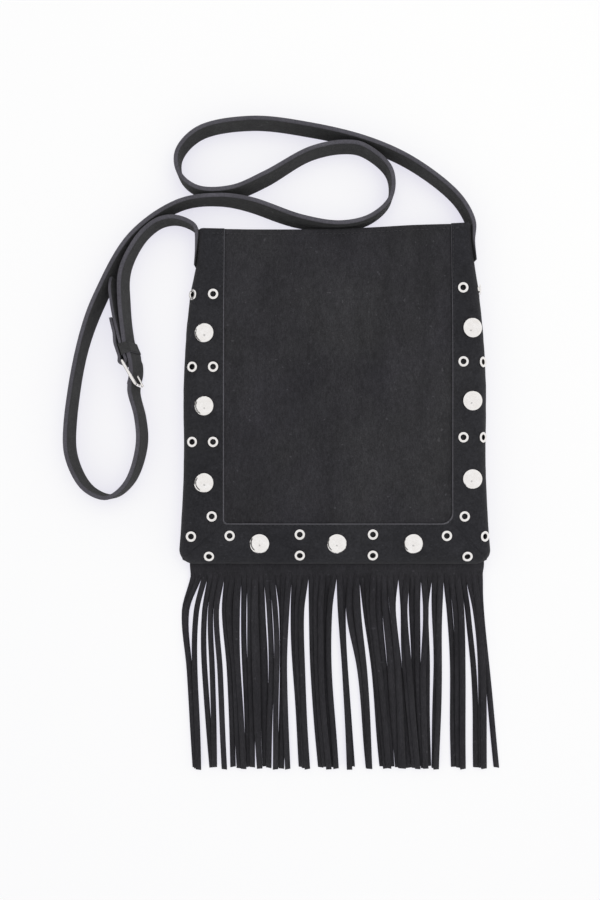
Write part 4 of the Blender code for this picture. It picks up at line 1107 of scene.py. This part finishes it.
def upright_band(name, line, thickness, node, point_length=0.0, skive=0.0):
    """Strip of leather standing on its edge along a plan line.

    Its last part may be cut to a point. Over the length skive both ends thin out from outside.
    """
    section = section_of(thickness)
    size, last = len(section), len(line) - 1
    edge_from = (STRAP_WIDTH - thickness * CORNER_PART) / 2
    lengths = lengths_along(line)

    def place(u, v):
        k, (across, up) = round(u * last), section[round(v * size) % size]
        run = (line[min(k + 1, last)] - line[max(k - 1, 0)]).normalized()
        left = lengths[-1] - lengths[k]
        narrow = 1.0
        if left < point_length:
            narrow -= POINT_CUT * (1 - left / point_length) ** 1.6
        if skive:
            side, near = (1, lengths[k]) if lengths[k] < left else (-1, left)
            thin = mix(SKIVED[side], 1.0, ease(near / skive))
            swell = swell_at(line[k].y, side) * ease(2 - near / SEWN_LENGTH)
            across = swell - thickness / 2 + (across + thickness / 2) * thin
        lean = lean_at(line[k]) * (0.5 - up / STRAP_WIDTH)
        spot = line[k] - Vector((-run.y, run.x)) * across + lean
        return Vector((spot.x, spot.y, lift_at(line[k]) + STRAP_WIDTH / 2 + up * narrow))

    bm = grid_of(last, size, place)
    around = bm.loops.layers.uv.active
    for face in bm.faces:
        s = int(sum(loop[around].uv.y for loop in face.loops) / 4 * size)
        up = (section[s][1] + section[(s + 1) % size][1]) / 2
        face.material_index = 1 if abs(up) > edge_from else 0
    bmesh.ops.remove_doubles(bm, verts=bm.verts, dist=1e-7)
    ends = [edge for edge in bm.edges if edge.is_boundary]
    for cap in bmesh.ops.holes_fill(bm, edges=ends, sides=0)["faces"]:
        cap.material_index = 1
    bmesh.ops.recalc_face_normals(bm, faces=bm.faces)
    finish_piece(name, bm, STRAP_SLOTS, (node,), smooth=50)


# The strap, tab and keeper share these materials: suede sides in painted shade, and paler cut edges.
strap_shaded_suede = suede("strap_shaded_suede", STRAP_SHADED_SIDE, STRAP_SHADED_OTHER, clouds=0.10)
STRAP_SLOTS = (strap_shaded_suede, cut_edge("strap_edge", STRAP_EDGE))
upright_band(
    "strap_leather", strap_line(), STRAP_LEATHER, "shoulder_strap", skive=SEWN_LENGTH * 1.2
)

# Buckle tab
# A shorter strap folded round the heel bar of the buckle. Its short leg ends in a step outside
# the keeper, and its long leg has a pointed free end that leans on the outer turn.


def tab_line():
    leg = HEEL_BAR + LEG_BESIDE * TAB_RADIUS
    past_keeper = KEEPER_REACH + KEEPER_LENGTH / 2 + 0.001
    long_line = spline([leg + LEG_UP * 0.003, leg + LEG_UP * past_keeper, *route_points(TAB_ROUTE)], 6)
    apart = TAB_LEATHER + LAYER_GAP
    wide = TAB_LEATHER + KEEPER_LEATHER + 2 * LAYER_GAP
    end_y = route_points(((0, -73.5),))[0].y
    short = []
    for point, after in zip(long_line, long_line[1:]):
        if point.y > end_y:
            break
        run = (after - point).normalized()
        along = (point - leg).dot(LEG_UP)
        if along < past_keeper:
            offset = mix(2 * TAB_RADIUS, wide, ease(along / (KEEPER_REACH - KEEPER_LENGTH / 2)))
        else:
            offset = mix(wide, apart, ease((along - past_keeper) / 0.010))
        short.append(point + Vector((-run.y, run.x)) * offset)
    wrap = []
    for k in range(17):
        turned = LEG_TURN + math.pi / 2 + math.pi * k / 16
        wrap.append(HEEL_BAR + towards(turned) * TAB_RADIUS)
    return short[::-1] + wrap + long_line


upright_band("tab_leather", tab_line(), TAB_LEATHER, "buckle_tab", point_length=TAB_POINT)

# Keeper
# A loop of thin leather, pulled round the tab and the strap.


def keeper_point(u, v):
    """u runs round the loop, v along the strap."""
    out = LAYER_GAP * 0.75 + KEEPER_LEATHER
    near = -TAB_LEATHER / 2 - out
    far = STRAP_BESIDE_TAB + STRAP_LEATHER / 2 + out
    half_x, half_z = (far - near) / 2, STRAP_WIDTH / 2 + out
    turned = 2 * math.pi * u
    round_x = math.copysign(abs(math.cos(turned)) ** 0.32, math.cos(turned))
    round_z = math.copysign(abs(math.sin(turned)) ** 0.32, math.sin(turned))
    flare = 1 + 0.04 * abs(2 * v - 1) ** 2
    step = mix(-KEEPER_LENGTH / 2, KEEPER_LENGTH / 2, v)
    middle = HEEL_BAR + LEG_BESIDE * (TAB_RADIUS + (near + far) / 2) + LEG_UP * (KEEPER_REACH + step)
    plan = middle + LEG_BESIDE * half_x * round_x * flare + lean_at(middle) * (0.5 - round_z / 2)
    return Vector((plan.x, plan.y, lift_at(middle) + STRAP_WIDTH / 2 + half_z * round_z))


keeper = grid_of(72, 6, keeper_point)
bmesh.ops.remove_doubles(keeper, verts=keeper.verts, dist=1e-6)
bmesh.ops.recalc_face_normals(keeper, faces=keeper.faces)
keeper_piece = finish_piece("keeper_leather", keeper, STRAP_SLOTS, ("strap_keeper",))
thicken(keeper_piece, KEEPER_LEATHER, 1)

# Buckle
# A rectangular frame of round nickel wire, and a wire prong whose eye goes round the same bar.


def wire_piece(name, path, radius, closed, body, node):
    """Round wire along points in the plane of the frame: (along the frame, aside, up)."""
    curve = bpy.data.curves.new(name + "_line", "CURVE")
    curve.dimensions = "3D"
    curve.bevel_depth = radius
    curve.bevel_resolution = 5
    curve.use_fill_caps = True
    line = curve.splines.new("POLY")
    line.points.add(len(path) - 1)
    for spot, (x, side, z) in zip(line.points, path):
        plan = HEEL_BAR + FRAME_RUN * x + FRAME_SIDE * side
        spot.co = (plan.x, plan.y, FRAME_HEIGHT / 2 + z, 1.0)
    line.use_cyclic_u = closed
    shape = bpy.data.objects.new(name + "_line", curve)
    bpy.context.scene.collection.objects.link(shape)
    bm = bmesh.new()
    bm.from_mesh(shape.to_mesh())
    shape.to_mesh_clear()
    bpy.data.objects.remove(shape)
    bmesh.ops.remove_doubles(bm, verts=bm.verts, dist=1e-7)
    bmesh.ops.recalc_face_normals(bm, faces=bm.faces)
    return finish_piece(name, bm, (bright,), (node,), body=body, smooth=60)


def frame_path():
    corner = 0.0032
    high = (FRAME_HEIGHT - WIRE) / 2
    path = []
    for x, z, start in (
        (FRAME_LENGTH - corner, high - corner, 0),
        (corner, high - corner, 90),
        (corner, corner - high, 180),
        (FRAME_LENGTH - corner, corner - high, 270),
    ):
        for k in range(9):
            turned = math.radians(start + 90 * k / 8)
            path.append((x + corner * math.cos(turned), 0.0, z + corner * math.sin(turned)))
    return path


def prong_path():
    around = WIRE / 2 + BAR_CLEARANCE + PRONG_WIRE / 2
    path = []
    for k in range(25):
        turned = math.radians(330 - 10 * k)
        path.append((math.cos(turned) * around, math.sin(turned) * around, 0.0))
    tip = FRAME_LENGTH + WIRE / 2 + 0.0014
    path += [(tip * share, around, 0.0) for share in (0.2, 0.4, 0.6, 0.8, 1.0)]
    return path


wire_piece("frame_wire", frame_path(), WIRE / 2, True, "frame_of_buckle", "buckle_frame")
wire_piece("prong_wire", prong_path(), PRONG_WIRE / 2, False, "prong_of_buckle", "buckle_prong")

# Stitching
# Black thread: one line below the edge of the mouth, one along the border's cut edge.

STITCH = 0.0027
STITCH_GAP = 0.0009
THREAD_RADIUS = 0.00026
MOUTH_INSET = 0.0042
SEAM_INSET = 0.0017
THREAD_LIFT = 0.0001


def stitch_row(name, line, colour):
    """Stitches laid along a line of points on the leather."""
    bm = bmesh.new()
    lengths = lengths_along(line)
    columns = np.array([list(p) for p in line]).T
    count = int(lengths[-1] / (STITCH + STITCH_GAP))
    for k in range(count):
        start = (k + 0.1) * lengths[-1] / count
        ends = [
            Vector([float(np.interp(start + step, lengths, column)) for column in columns])
            for step in (0.0, STITCH)
        ]
        run = ends[1] - ends[0]
        made = bmesh.ops.create_uvsphere(bm, u_segments=8, v_segments=6, radius=1.0)["verts"]
        size = Matrix.Diagonal((THREAD_RADIUS, THREAD_RADIUS, run.length / 2, 1))
        turn = run.to_track_quat("Z", "Y").to_matrix().to_4x4()
        place = Matrix.Translation((ends[0] + ends[1]) / 2) @ turn @ size
        bmesh.ops.transform(bm, matrix=place, verts=made)
    return finish_piece(name, bm, (colour,), smooth=80)


def mouth_stitches():
    line = []
    for k in range(121):
        x = mix(-MOUTH_WIDTH / 2 + 0.010, MOUTH_WIDTH / 2 - 0.012, k / 120)
        y = mouth_y(x) - MOUTH_INSET
        under = LEATHER + SEAM_GAP if SEAM_LEFT < x < SEAM_RIGHT else 0.0
        line.append(Vector((x, y, front_z(x, y) - under + THREAD_LIFT)))
    return line


def seam_stitches():
    line = []
    for k in range(301):
        t = float(np.interp(k / 300, (0.0, 0.36, 0.38, 0.62, 0.66, 1.0), (0.01, 1, 2, 3, 4, 4.99)))
        spot = border_point(t, 0.0)
        out = (border_point(t, 0.05) - spot).normalized()
        line.append(spot + out * SEAM_INSET + Vector((0, 0, THREAD_LIFT)))
    return line


stitch_row("mouth_stitching", mouth_stitches(), thread)
stitch_row("seam_stitching", seam_stitches(), seam_thread)
